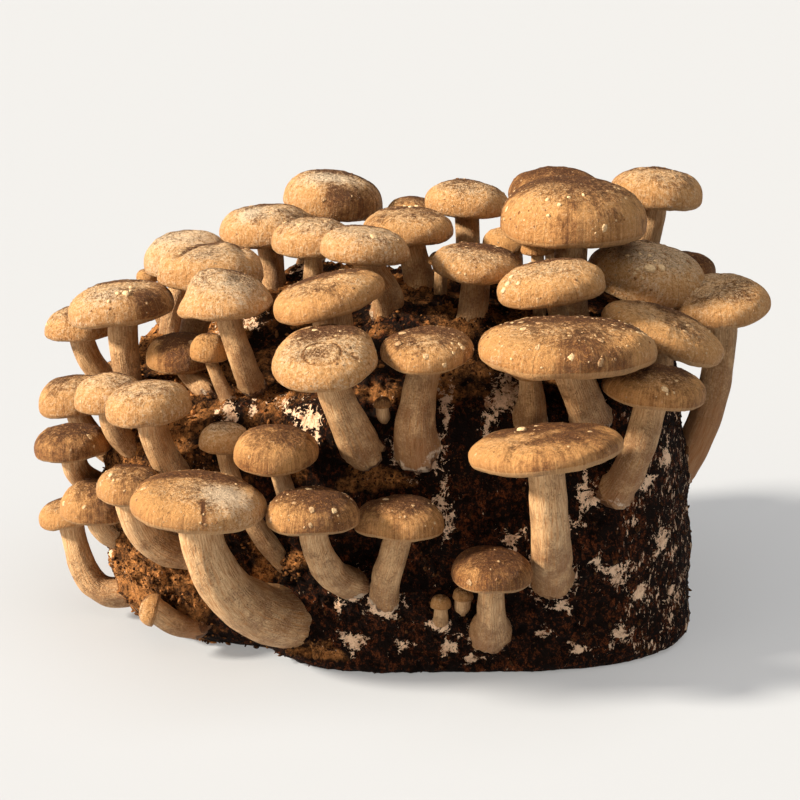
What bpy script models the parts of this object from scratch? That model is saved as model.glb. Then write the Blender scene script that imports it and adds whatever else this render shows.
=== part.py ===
"""A shiitake fruiting block: a compacted sawdust block with whole mushrooms growing out of it on every side.

Frame: the origin is on the block's flat underside, near its middle, +X is the block's long side, to the
right of someone who faces its front, +Y points to its back and +Z is up. Everything is in metres.
"""

import math

import bmesh
import bpy
from mathutils import Vector
from mathutils.bvhtree import BVHTree

MM = 0.001

# The block's outline, seen from above: a rounded oblong
BLOCK_HALF_LENGTH = 143 * MM
BLOCK_HALF_DEPTH = 89 * MM
BLOCK_MIDDLE = Vector((-5 * MM, 1 * MM, 0))
OUTLINE_POWER = 3.4

# Its height, its rounded edges, and how its sides bulge, taper and crumble
CROWN_HEIGHT = 160 * MM
EDGE_HEIGHT = 139 * MM
BOTTOM_ROUND = 5 * MM
TOP_ROUND = 16 * MM
SIDE_BULGE = 1.5 * MM
RIGHT_END_TAPER = 8 * MM
CRUMBLE = 1.5 * MM

# Where its form departs from that: how much, round which angle in degrees, and over what width. The left
# front corner was crumbled away, the left end is lower and rounder than the rest, and the back is higher
CORNER_LOSS = (0.20, 224, 18)
LEFT_BOTTOM_ROUND = (30 * MM, 198, 26)
LEFT_TOP_ROUND = (22 * MM, 205, 30)
LEFT_EDGE_DROP = (18 * MM, 195, 40)
LEFT_TOP_DIP = (1, 195, 50)
BACK_EDGE_RISE = (7 * MM, 90, 45)

BLOCK_SIDES = 36
# Levels run 0 to 1 round the bottom edge, to 2 up the side, to 3 round the top edge, to 4 at the crown
BLOCK_LEVELS = (0, 0.5, 1, 1.5, 2, 2.5, 3, 3.4, 3.75)

# Each mushroom's foot stops this far from the block that it grows out of
JOINT_GAP = 0.3 * MM

# The cap's section, as shares of its radius and of its height above the rim, from near its crown to its rim
SMALL_CAP_SECTION = ((0.70, 0.80), (1.0, 0.10))
CAP_SECTION = ((0.50, 0.90), (0.86, 0.60), (1.0, 0.10))
BROAD_CAP_SECTION = ((0.34, 0.96), (0.66, 0.82), (0.89, 0.54), (1.0, 0.12))
# The rolled lip below the rim, as shares of the radius
LIP = ((0.94, 0.14),)
BROAD_LIP = ((0.98, 0.08), (0.91, 0.15))
GILL_RISE = 0.03
CAP_WAVE = 0.05
STEM_WAVE = 0.06

# The smallest cap radius in millimetres of each kind, the sides of its rings, its section and its lip
CAP_KINDS = (
    (26, 12, BROAD_CAP_SECTION, BROAD_LIP),
    (18, 9, CAP_SECTION, LIP),
    (10, 8, SMALL_CAP_SECTION, LIP),
    (0, 6, SMALL_CAP_SECTION, LIP),
)

# A long stem takes more rings than a short one
LONG_STEM = 54 * MM
SHORT_STEM = 30 * MM
# How far a stem keeps straight on from its cap, as a share of the way to where it swings
STEM_START = 0.35
# The foot runs on into the block by this much more than its end needs, as if it dived at least this steeply
FOOT_DEPTH = 1.5 * MM
LEAST_DIVE = 0.3

# One line for each mushroom, in millimetres and degrees: the middle of the cap at its rim, the cap's
# radius and height, its lean to the right and to the front, the stem's radius at the cap and at the foot,
# the point that the stem swings towards, and the place on the block that it grows from
MUSHROOMS = {
    "mushroom_01": ((-40, 84, 190), 26, 17, (8, 0), (5, 6), (-32, 74, 169), (-31, 64, 148)),
    "mushroom_02": ((1, 82, 185), 13, 9, (0, 0), (4, 4), (1, 78, 167), (1, 72, 146)),
    "mushroom_03": ((29, 58, 195), 21, 12, (3, 0), (6, 6), (30, 50, 175), (30, 42, 148)),
    "mushroom_04": ((76, 82, 195), 24, 14, (0, 0), (7, 7), (78, 74, 168), (78, 66, 144)),
    "mushroom_05": ((78, 0, 197), 36, 23, (0, -2), (8, 9), (78, 3, 178), (78, 5, 148)),
    "mushroom_06": ((124, 50, 202), 24, 13, (3, 0), (7, 7), (118, 49, 174), (114, 46, 142)),
    "mushroom_07": ((-72, 46, 183), 24, 14, (0, -1), (6, 7), (-69, 43, 168), (-68, 40, 150)),
    "mushroom_08": ((-114, 57, 165), 22, 16, (-3, 0), (6, 6), (-125, 50, 142), (-122, 40, 123)),
    "mushroom_09": ((-97, 4, 172), 25, 14, (-1, 0), (6, 7), (-106, 9, 153), (-108, 12, 133)),
    "mushroom_10": ((-47, 7, 186), 20, 13, (0, 0), (4, 6), (-48, 10, 173), (-48, 13, 154)),
    "mushroom_11": ((-22, -27, 191), 22, 11, (4, -2), (7, 8), (-9, -18, 172), (-11, -10, 157)),
    "mushroom_12": ((-1, 24, 190), 23, 10, (0, 1), (7, 8), (4, 22, 174), (5, 24, 158)),
    "mushroom_13": ((51, 28, 182), 15, 8, (0, 0), (5, 5), (52, 27, 171), (52, 25, 148)),
    "mushroom_14": ((32, -16, 181), 22, 9, (5, 3), (7, 8), (30, -13, 163), (28, -9, 149)),
    "mushroom_15": ((65, -51, 179), 25, 12, (-9, 0), (4, 6), (71, -42, 161), (74, -33, 146)),
    "mushroom_16": ((116, 9, 167), 29, 18, (8, 4), (7, 8), (118, 10, 155), (119, 11, 141)),
    "mushroom_17": ((141, 45, 163), 14, 10, (5, 0), (5, 5), (136, 44, 150), (128, 42, 132)),
    "mushroom_18": ((158, -16, 163), 19, 10, (2, 12), (6, 8), (138, -26, 100), (134, -28, 78)),
    "mushroom_19": ((-86, -48, 170), 23, 16, (-4, -4), (6, 6), (-80, -58, 150), (-75, -46, 131)),
    "mushroom_20": ((-38, -67, 178), 26, 10, (-14, 0), (9, 9), (-35, -66, 158), (-34, -58, 142)),
    "mushroom_21": ((-140, -10, 158), 25, 13, (-6, -2), (7, 6), (-140, -14, 134), (-136, -12, 116)),
    "mushroom_22": ((-165, 22, 139), 17, 12, (-3, 0), (6, 7), (-160, 29, 112), (-136, 26, 95)),
    "mushroom_23": ((-111, -16, 134), 17, 13, (-4, 0), (5, 5), (-102, -26, 126), (-97, -32, 122)),
    "mushroom_24": ((-95, -41, 144), 10, 10, (0, 0), (3, 4), (-91, -44, 134), (-86, -47, 122)),
    "mushroom_25": ((-38, -106, 160), 24, 10, (-4, 14), (7, 10), (-30, -108, 134), (-22, -88, 113)),
    "mushroom_26": ((7, -94, 160), 21, 9, (0, 6), (7, 11), (-1, -106, 134), (3, -88, 113)),
    "mushroom_27": ((69, -97, 162), 39, 13, (0, -3), (8, 9), (77, -102, 142), (82, -86, 127)),
    "mushroom_28": ((118, -47, 156), 29, 10, (20, 2), (5, 6), (119, -49, 147), (117, -48, 134)),
    "mushroom_29": ((109, -96, 143), 23, 10, (4, 0), (7, 8), (101, -106, 110), (95, -86, 92)),
    "mushroom_30": ((-166, 2, 107), 19, 13, (-6, 0), (6, 7), (-162, 2, 84), (-134, 9, 71)),
    "mushroom_31": ((-142, -48, 123), 17, 13, (0, 0), (6, 6), (-142, -50, 108), (-132, -42, 97)),
    "mushroom_32": ((-120, -78, 128), 20, 13, (-4, 0), (7, 8), (-116, -68, 100), (-107, -60, 85)),
    "mushroom_33": ((-163, -36, 96), 18, 11, (-4, 0), (6, 7), (-166, -16, 71), (-134, -10, 62)),
    "mushroom_34": ((-151, -44, 67), 17, 15, (0, 0), (6, 7), (-147, -42, 48), (-126, -24, 46)),
    "mushroom_35": ((-169, -14, 53), 15, 9, (-12, 0), (6, 8), (-150, -18, 5), (-134, -20, 18)),
    "mushroom_36": ((-130, -80, 89), 16, 12, (0, 0), (8, 9), (-124, -72, 54), (-102, -56, 50)),
    "mushroom_37": ((-95, -118, 97), 31, 10, (4, 0), (10, 16), (-86, -104, 33), (-51, -66, 21)),
    "mushroom_38": ((-86, -76, 111), 12, 10, (0, 0), (4, 6), (-68, -80, 60), (-57, -72, 50)),
    "mushroom_39": ((-61, -104, 115), 19, 12, (0, 5), (4, 5), (-57, -92, 96), (-56, -74, 76)),
    "mushroom_40": ((-44, -122, 92), 20, 12, (0, 0), (6, 8), (-41, -112, 58), (-27, -86, 46)),
    "mushroom_41": ((-5, -107, 83), 20, 12, (0, -4), (6, 7), (-13, -106, 56), (-12, -88, 40)),
    "mushroom_42": ((58, -132, 127), 34, 8, (-7, -6), (8, 10), (63, -120, 72), (66, -88, 50)),
    "mushroom_43": ((36, -119, 64), 19, 10, (0, 1), (6, 9), (37, -110, 33), (37, -88, 23)),
    "mushroom_44": ((-126, -68, 24), 8, 4, (-70, 0), (6, 6), (-117, -66, 15), (-104, -60, 14)),
    "mushroom_45": ((-135, 70, 154), 7, 5, (0, 0), (3, 3), (-134, 66, 141), (-124, 58, 125)),
    "mushroom_46": ((61, -8, 178), 7, 4, (0, 0), (3, 3), (62, -8, 165), (63, -8, 149)),
    "mushroom_47": ((15, 9, 177), 6, 5, (0, 0), (3, 3), (15, 9, 165), (15, 9, 149)),
    "mushroom_48": ((54, -86, 147), 8, 5, (0, 0), (5, 8), (55, -96, 138), (54, -86, 125)),
    "bud_1": ((24, -96, 43), 5, 5, (0, 0), (4, 4), (24, -94, 38), (24, -88, 35)),
    "bud_2": ((14, -96, 39), 5, 5, (0, 0), (3, 4), (14, -94, 32), (14, -88, 28)),
    "bud_3": ((-13, -97, 136), 4, 4, (0, 0), (3, 3), (-13, -95, 131), (-12, -88, 127)),
    "mushroom_back_1": ((-98, 110, 118), 22, 13, (-3, -6), (6, 8), (-94, 112, 90), (-88, 88, 74)),
    "mushroom_back_2": ((-58, 120, 92), 20, 12, (0, -8), (6, 8), (-56, 118, 62), (-52, 90, 50)),
    "mushroom_back_3": ((-16, 114, 128), 24, 13, (0, -4), (7, 9), (-14, 116, 96), (-10, 90, 82)),
    "mushroom_back_4": ((30, 118, 84), 23, 13, (0, -5), (7, 9), (28, 118, 52), (24, 90, 40)),
    "mushroom_back_5": ((62, 112, 132), 19, 12, (3, -4), (6, 7), (60, 112, 106), (56, 90, 94)),
    "mushroom_back_6": ((92, 110, 92), 21, 12, (4, -6), (6, 8), (90, 112, 62), (84, 88, 48)),
    "mushroom_back_7": ((-104, 102, 62), 16, 10, (-6, -6), (5, 7), (-100, 104, 40), (-92, 84, 32)),
    "mushroom_back_8": ((-148, 62, 100), 18, 12, (-8, -4), (6, 7), (-146, 58, 72), (-130, 42, 56)),
}

# Finishes: base colour and roughness
SUBSTRATE_COLOUR = (0.045, 0.022, 0.012, 1)
SUBSTRATE_ROUGHNESS = 0.95
MUSHROOM_COLOUR = (0.48, 0.27, 0.12, 1)
MUSHROOM_ROUGHNESS = 0.7
SHARP_EDGE = math.radians(50)


def local(change, angle):
    """How much of a local change is left at an angle: all of it at its own angle, none two widths away."""
    amount, centre, width = change
    return amount * math.exp(-(((math.degrees(angle) - centre) / width) ** 2))


def block_point(angle, level, grown=0.0):
    """The point of the block's surface at an angle round it and a level up it, pushed out by grown."""
    cosine = abs(math.cos(angle)) / BLOCK_HALF_LENGTH
    sine = abs(math.sin(angle)) / BLOCK_HALF_DEPTH
    radius = (cosine**OUTLINE_POWER + sine**OUTLINE_POWER) ** (-1 / OUTLINE_POWER)
    radius *= 1 - local(CORNER_LOSS, angle)
    bottom = BOTTOM_ROUND + local(LEFT_BOTTOM_ROUND, angle)
    top = TOP_ROUND + local(LEFT_TOP_ROUND, angle)
    edge = EDGE_HEIGHT - local(LEFT_EDGE_DROP, angle) + local(BACK_EDGE_RISE, angle)

    low_turn = min(max(level, 0), 1) * math.pi / 2
    climb = min(max(level - 1, 0), 1)
    high_turn = min(max(level - 2, 0), 1) * math.pi / 2
    inward = min(max(level - 3, 0), 1)

    height = bottom * (1 - math.cos(low_turn))
    height += climb * (edge - top - bottom) + top * math.sin(high_turn)
    # The top is a dome, except towards the left, where it dips before it rises
    dip = local(LEFT_TOP_DIP, angle)
    height += (CROWN_HEIGHT - edge) * ((1 - dip) * (1 - (1 - inward) ** 2) + dip * inward**2)
    radius -= bottom * (1 - math.sin(low_turn)) + top * (1 - math.cos(high_turn))
    radius += SIDE_BULGE * math.sin(math.pi * climb)
    radius -= RIGHT_END_TAPER * max(math.cos(angle), 0) ** 4 * climb
    wave = math.sin(7 * angle + 60 * height) * math.sin(3 * angle - 90 * height)
    radius += CRUMBLE * wave * min(level, 1)
    radius = (radius + grown) * (1 - inward)
    height += grown * math.sin(high_turn) if level else -grown
    return BLOCK_MIDDLE + Vector((radius * math.cos(angle), radius * math.sin(angle), height))


def skin_rings(bm, rings, crown_lift):
    """Joins each ring of vertices to the next with quads and closes both ends, the first in a raised point."""
    for upper, lower in zip(rings, rings[1:]):
        for i in range(len(upper)):
            j = (i + 1) % len(upper)
            bm.faces.new((upper[i], upper[j], lower[j], lower[i]))
    crown = bm.faces.new(rings[0])
    bm.faces.new(rings[-1])
    bmesh.ops.recalc_face_normals(bm, faces=bm.faces)
    bmesh.ops.poke(bm, faces=[crown], offset=crown_lift)


def block_bmesh(grown=0.0):
    """The block as rings from its crown down to its flat underside."""
    bm = bmesh.new()
    rings = []
    for level in reversed(BLOCK_LEVELS):
        points = [block_point(math.tau * i / BLOCK_SIDES, level, grown) for i in range(BLOCK_SIDES)]
        rings.append([bm.verts.new(point) for point in points])
    skin_rings(bm, rings, CROWN_HEIGHT + grown - rings[0][0].co.z)
    bmesh.ops.triangulate(bm, faces=bm.faces, quad_method="FIXED")
    return bm


def add_object(name, bm, material):
    """A named object with a smooth shaded mesh."""
    mesh = bpy.data.meshes.new(name)
    bm.to_mesh(mesh)
    bm.free()
    mesh.shade_smooth()
    mesh.set_sharp_from_angle(angle=SHARP_EDGE)
    mesh.materials.append(material)
    made = bpy.data.objects.new(name, mesh)
    bpy.context.collection.objects.link(made)
    return made


def make_material(name, colour, roughness):
    """A plain Principled finish."""
    material = bpy.data.materials.new(name)
    material.use_nodes = True
    shader = material.node_tree.nodes["Principled BSDF"]
    shader.inputs["Base Color"].default_value = colour
    shader.inputs["Roughness"].default_value = roughness
    return material


def bezier(control, share):
    """The point at a share of the way along the cubic curve of four control points."""
    rest = 1 - share
    weights = (rest**3, 3 * share * rest**2, 3 * share**2 * rest, share**3)
    return sum((weight * point for weight, point in zip(weights, control)), Vector((0, 0, 0)))


class Rings:
    """Rings of vertices along one mushroom, on a frame of two directions that turns with its middle line."""

    def __init__(self, bm, axis, sides, seed):
        self.bm = bm
        self.across = Vector((axis.z, 0, -axis.x)).normalized()
        self.along = axis.cross(self.across)
        self.sides = sides
        self.seed = seed
        self.facet_swell = 0.5 + 0.5 / math.cos(math.pi / sides)
        self.made = []

    def face(self, direction):
        """Turns the frame the shortest way until its normal is the direction."""
        turn = self.across.cross(self.along).rotation_difference(direction)
        self.across = turn @ self.across
        self.along = turn @ self.along

    def add(self, centre, radius, wave):
        """A ring that swells and narrows a little as it goes round."""
        ring = []
        for i in range(self.sides):
            angle = math.tau * i / self.sides
            swell = 0.6 * math.sin(2 * angle + self.seed) + 0.4 * math.sin(3 * angle + 2 * self.seed)
            size = radius * self.facet_swell * (1 + wave * swell)
            offset = math.cos(angle) * self.across + math.sin(angle) * self.along
            ring.append(self.bm.verts.new(centre + size * offset))
        self.made.append(ring)


def mushroom_bmesh(row, seed, surface):
    """One mushroom: down the cap to its rim, round the lip, in under the gills and along the stem."""
    cap, radius, height, lean, stem, bend, root = row
    lean_x, lean_y = math.radians(lean[0]), math.radians(lean[1])
    upright = math.cos(lean_x) * math.cos(lean_y)
    axis = Vector((math.sin(lean_x), -math.sin(lean_y), upright)).normalized()
    sides, section, lip = next(kind[1:] for kind in CAP_KINDS if radius >= kind[0])
    radius, height = radius * MM, height * MM
    cap, bend = Vector(cap) * MM, Vector(bend) * MM
    root, outward, _, _ = surface.find_nearest(Vector(root) * MM)

    bm = bmesh.new()
    rings = Rings(bm, axis, sides, seed)
    for share, rise in section:
        rings.add(cap + axis * height * rise, radius * share, CAP_WAVE)
    for share, drop in lip:
        rings.add(cap - axis * radius * drop, radius * share, CAP_WAVE)
    rings.add(cap + axis * radius * GILL_RISE, stem[0] * MM, STEM_WAVE)

    control = (cap, cap - axis * (cap - bend).length * STEM_START, bend, root)
    length = (cap - bend).length + (bend - root).length
    steps = 4 if length > LONG_STEM else (2 if length < SHORT_STEM else 3)
    for step in range(1, steps + 1):
        share = step / steps
        centre = bezier(control, share)
        heading = (centre - bezier(control, share - 0.04)).normalized()
        size = (stem[0] + (stem[1] - stem[0]) * share**2) * MM
        rings.face(-heading)
        if step == steps:
            # The foot runs on into the block until its whole end is under the surface
            dive = max(-heading.dot(outward), LEAST_DIVE)
            centre += heading * (size * math.sqrt(1 - min(dive, 1) ** 2) + FOOT_DEPTH) / dive
        rings.add(centre, size, STEM_WAVE)
    skin_rings(bm, rings.made, height * (1 - section[0][1]))
    return bm


def main():
    """Clears the scene and builds the block and everything that grows on it."""
    for old in list(bpy.data.objects):
        bpy.data.objects.remove(old)
    substrate = make_material("substrate", SUBSTRATE_COLOUR, SUBSTRATE_ROUGHNESS)
    flesh = make_material("mushroom_flesh", MUSHROOM_COLOUR, MUSHROOM_ROUGHNESS)

    block = block_bmesh()
    surface = BVHTree.FromBMesh(block)
    add_object("substrate_block", block, substrate)
    cutter = add_object("block_and_gap", block_bmesh(JOINT_GAP), substrate)
    cutter.hide_render = True
    cutter.display_type = "WIRE"

    for seed, (name, row) in enumerate(MUSHROOMS.items()):
        made = add_object(name, mushroom_bmesh(row, seed, surface), flesh)
        cut = made.modifiers.new("Cut at the block", "BOOLEAN")
        cut.operation = "DIFFERENCE"
        cut.object = cutter


main()
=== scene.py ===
# %% [markdown]
# # A shiitake fruiting block
#
# A block of compacted sawdust, held together by fungal threads, with more than fifty mushrooms growing out
# of its top and sides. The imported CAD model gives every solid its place. This lesson dresses each solid with
# a surface worked out as numpy arrays, and with finishes made of Blender's shader nodes.

import itertools
import math

import bpy
import numpy as np
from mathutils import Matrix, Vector


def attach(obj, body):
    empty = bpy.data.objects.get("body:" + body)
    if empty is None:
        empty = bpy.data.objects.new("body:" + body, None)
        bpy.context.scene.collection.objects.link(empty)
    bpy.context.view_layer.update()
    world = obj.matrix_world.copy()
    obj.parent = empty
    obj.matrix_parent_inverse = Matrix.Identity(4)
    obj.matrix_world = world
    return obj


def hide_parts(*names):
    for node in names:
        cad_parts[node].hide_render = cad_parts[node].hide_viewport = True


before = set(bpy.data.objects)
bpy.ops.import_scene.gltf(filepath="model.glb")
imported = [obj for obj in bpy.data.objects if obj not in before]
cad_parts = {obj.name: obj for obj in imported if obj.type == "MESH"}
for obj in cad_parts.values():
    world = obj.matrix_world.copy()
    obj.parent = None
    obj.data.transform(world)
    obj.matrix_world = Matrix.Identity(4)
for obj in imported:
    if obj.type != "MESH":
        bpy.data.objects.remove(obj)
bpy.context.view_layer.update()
MM = 0.001
TAU = math.tau

# %% [markdown]
# ## Random lumps that repeat exactly
#
# Nothing that grew is smooth, so every surface here is pushed in and out by noise. Blender's own noise
# texture would do it through a modifier. Here the noise is worked out with numpy, because then the same
# numbers can shape the mesh and also say where the colours change.


# %% Noise in space
def noise(points, cell, seed=0):
    """A random number from -1 to 1 at each corner of a grid of cells, blended smoothly across each cell:
    the sum over the 8 corners of the number times a weight of 3t^2 - 2t^3 along each axis."""
    place = np.asarray(points) / cell + 512.0
    whole = np.floor(place).astype(np.int64)
    part = place - whole
    part = part * part * (3 - 2 * part)
    total = np.zeros(place.shape[:-1])
    for corner in itertools.product((0, 1), repeat=3):
        spot = whole + np.array(corner)
        number = spot[..., 0] * 73856093 ^ spot[..., 1] * 19349663 ^ spot[..., 2] * 83492791 ^ seed * 7919
        number = (number ^ number >> 13) * 1274126177 & 0xFFFFFFFF
        number = (number ^ number >> 15) * 668265263 & 0xFFFFFFFF
        value = (number >> 8 & 0xFFFF) / 32767.5 - 1
        weight = np.where(corner, part, 1 - part).prod(-1)
        total += weight * value
    return total


def rough(points, cell, octaves, seed=0):
    """Noise added to finer noise: each layer has half the cell size and half the strength of the last, and
    the sum is divided by what the strengths add up to."""
    layers = [noise(points, cell / 2**i, seed + i) / 2**i for i in range(octaves)]
    return sum(layers) / (2 - 2 ** (1 - octaves))


def smooth(value, low, high):
    """0 below low, 1 above high, and 3t^2 - 2t^3 of the share t in between."""
    share = np.clip((value - low) / (high - low), 0, 1)
    return share * share * (3 - 2 * share)


def unit(vectors):
    """Each vector divided by its own length."""
    return vectors / np.linalg.norm(vectors, axis=-1, keepdims=True)


print("noise at three points:", noise(np.eye(3), 0.7).round(3))

# %% [markdown]
# ## From grids of points to meshes
#
# Each surface is a grid: rings of points from a top end to a bottom end. A ring closes on itself, and both
# ends close in a point, so the surface is a sealed skin. One piece may hold several skins, and one skin
# shape may be repeated many times. Each skin also gets its own window of a UV map, so that the colours can
# be laid out without overlap.


# %% Mesh builder
class Skins:
    """Collects closed skins, then makes one mesh of them."""

    def __init__(self):
        self.count = 0
        self.points, self.corners, self.sizes, self.maps, self.kinds = [], [], [], [], []
        self.values = {}

    def add(self, grid, window, kind=0, ends=None, **values):
        """grid is skins x rings x points x 3, from the top ring down, going round anticlockwise seen from
        above. window is left, bottom, right and top in the UV map. values are numbers or vectors for each
        point; an end takes the mean of its ring."""
        skins, rings, around = grid.shape[:3]
        tops, bottoms = ends if ends else (grid[:, 0].mean(1), grid[:, -1].mean(1))
        self.points.append(self.flatten(grid, tops, bottoms))
        for name, value in values.items():
            value = np.asarray(value, float)
            value = np.broadcast_to(value, grid.shape[:3] + value.shape[3:])
            rows = self.flatten(value, value[:, 0].mean(1), value[:, -1].mean(1))
            self.values.setdefault(name, []).append(rows)
        i, j = np.mgrid[0 : rings - 1, 0:around]
        k = (j + 1) % around
        quads = np.stack([i * around + j, (i + 1) * around + j, (i + 1) * around + k, i * around + k], -1)
        j, k = np.arange(around), (np.arange(around) + 1) % around
        last = (rings - 1) * around
        top_end, bottom_end = rings * around, rings * around + 1
        fans = np.concatenate([
            np.stack([np.full(around, top_end), j, k], -1),
            np.stack([np.full(around, bottom_end), last + k, last + j], -1),
        ])
        one = np.concatenate([quads.ravel(), fans.ravel()])
        step = rings * around + 2
        starts = self.count + np.arange(skins) * step
        self.corners.append((starts[:, None] + one).ravel())
        self.sizes.append(np.tile(np.r_[np.full(quads.size // 4, 4), np.full(len(fans), 3)], skins))
        self.kinds.append(np.full((quads.size // 4 + len(fans)) * skins, kind))
        self.maps.append(self.unrolled(skins, rings, around, window))
        self.count += skins * step

    @staticmethod
    def flatten(grid, tops, bottoms):
        """Skins x rings x points to one row per point, with each skin's two ends after its rings."""
        tail = grid.shape[3:]
        body = grid.reshape(grid.shape[0], -1, *tail)
        return np.concatenate([body, tops[:, None], bottoms[:, None]], 1).reshape(-1, *tail)

    @staticmethod
    def unrolled(skins, rings, around, window):
        """Each skin unrolled into a cell of its own in the window: across is the angle, down is the ring."""
        i, j = np.mgrid[0 : rings - 1, 0:around]
        quads = np.stack([j, i + 1, j, i + 2, j + 1, i + 2, j + 1, i + 1], -1).reshape(-1, 2)
        j = np.arange(around)
        zero, end = np.zeros(around), np.full(around, rings + 1)
        fans = np.concatenate([
            np.stack([j + 0.5, zero, j, zero + 1, j + 1, zero + 1], -1).reshape(-1, 2),
            np.stack([j + 0.5, end, j + 1, end - 1, j, end - 1], -1).reshape(-1, 2),
        ])
        one = np.concatenate([quads, fans]) / (around, rings + 1)
        one = 0.02 + 0.96 * one if skins > 1 else one
        wide = math.ceil(math.sqrt(skins))
        high = math.ceil(skins / wide)
        cell = np.stack([np.arange(skins) % wide, np.arange(skins) // wide], -1)
        spread = (cell[:, None] + one) / (wide, high)
        left, bottom, right, top = window
        return (np.array((left, top)) + spread * (right - left, bottom - top)).reshape(-1, 2)

    def make(self, name, finishes, slot, *nodes, rounded=True):
        """The mesh of all the skins, as a piece that rides on the body and replaces the CAD nodes."""
        points, corners = np.concatenate(self.points), np.concatenate(self.corners)
        sizes = np.concatenate(self.sizes)
        mesh = bpy.data.meshes.new(name)
        mesh.vertices.add(len(points))
        mesh.vertices.foreach_set("co", points.astype(np.float32).ravel())
        mesh.loops.add(len(corners))
        mesh.loops.foreach_set("vertex_index", corners.astype(np.int32))
        mesh.polygons.add(len(sizes))
        mesh.polygons.foreach_set("loop_start", np.r_[0, np.cumsum(sizes)[:-1]].astype(np.int32))
        for finish in finishes:
            mesh.materials.append(finish)
        mesh.polygons.foreach_set("material_index", np.concatenate(self.kinds).astype(np.int32))
        mesh.uv_layers.new(name="OFBake")
        spread = np.concatenate(self.maps).astype(np.float32)
        mesh.uv_layers["OFBake"].uv.foreach_set("vector", spread.ravel())
        for key, parts in self.values.items():
            value = np.concatenate(parts)
            kind, field = ("FLOAT_VECTOR", "vector") if value.ndim == 2 else ("FLOAT", "value")
            made = mesh.attributes.new(key, kind, "POINT")
            made.data.foreach_set(field, value.astype(np.float32).ravel())
        mesh.update(calc_edges=True)
        if rounded:
            mesh.shade_smooth()
        piece = bpy.data.objects.new(name, mesh)
        bpy.context.scene.collection.objects.link(piece)
        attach(piece, "root")
        if nodes:
            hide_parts(*nodes)
        self.triangles = int((sizes - 2).sum())


WHOLE_MAP = (0, 0, 1, 1)
trial = Skins()
trial.add(np.zeros((3, 4, 5, 3)), WHOLE_MAP)
print("three skins of four rings of five points, with their ends:", trial.count, "points")

# %% [markdown]
# ## Shader maths that reads like maths
#
# A finish is a tree of nodes. Written node by node it is long and hard to follow, so a small class wraps
# each socket and adds a Math node whenever two of them are added, subtracted or multiplied.


# %% Sockets with operators
class Wire:
    """An output socket. An expression on wires and numbers adds the Math nodes that work it out."""

    def __init__(self, finish, socket):
        self.finish, self.socket = finish, socket

    def math(self, operation, *values, clamp=False):
        settings = {"operation": operation, "use_clamp": clamp}
        return self.finish.node("ShaderNodeMath", settings, {i: v for i, v in enumerate(values)})

    def __add__(self, other):
        return self.math("ADD", self, other)

    def __radd__(self, other):
        return self.math("ADD", other, self)

    def __sub__(self, other):
        return self.math("SUBTRACT", self, other)

    def __rsub__(self, other):
        return self.math("SUBTRACT", other, self)

    def __mul__(self, other):
        return self.math("MULTIPLY", self, other)

    def __rmul__(self, other):
        return self.math("MULTIPLY", other, self)

    def clip(self):
        """0 where the value is below 0, and 1 where it is above 1."""
        return self.math("ADD", self, 0.0, clamp=True)

    def step(self, low, high):
        """0 below low and 1 above high, with a smooth passage between them."""
        sockets = {"Value": self, "From Min": low, "From Max": high}
        return self.finish.node("ShaderNodeMapRange", {"interpolation_type": "SMOOTHSTEP"}, sockets)


# %% [markdown]
# ## Finishes from short calls
#
# A finish starts from the shader that a new material has. One method adds any node from its type, its
# settings and its sockets. The others are short names for what comes back in every finish: grain, chips,
# winding cracks, coordinates that draw a pattern out into fibres, and a bump. Patterns read the object's own
# coordinates or values that the mesh carries, so that they stay on the surface wherever the object stands.


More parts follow.
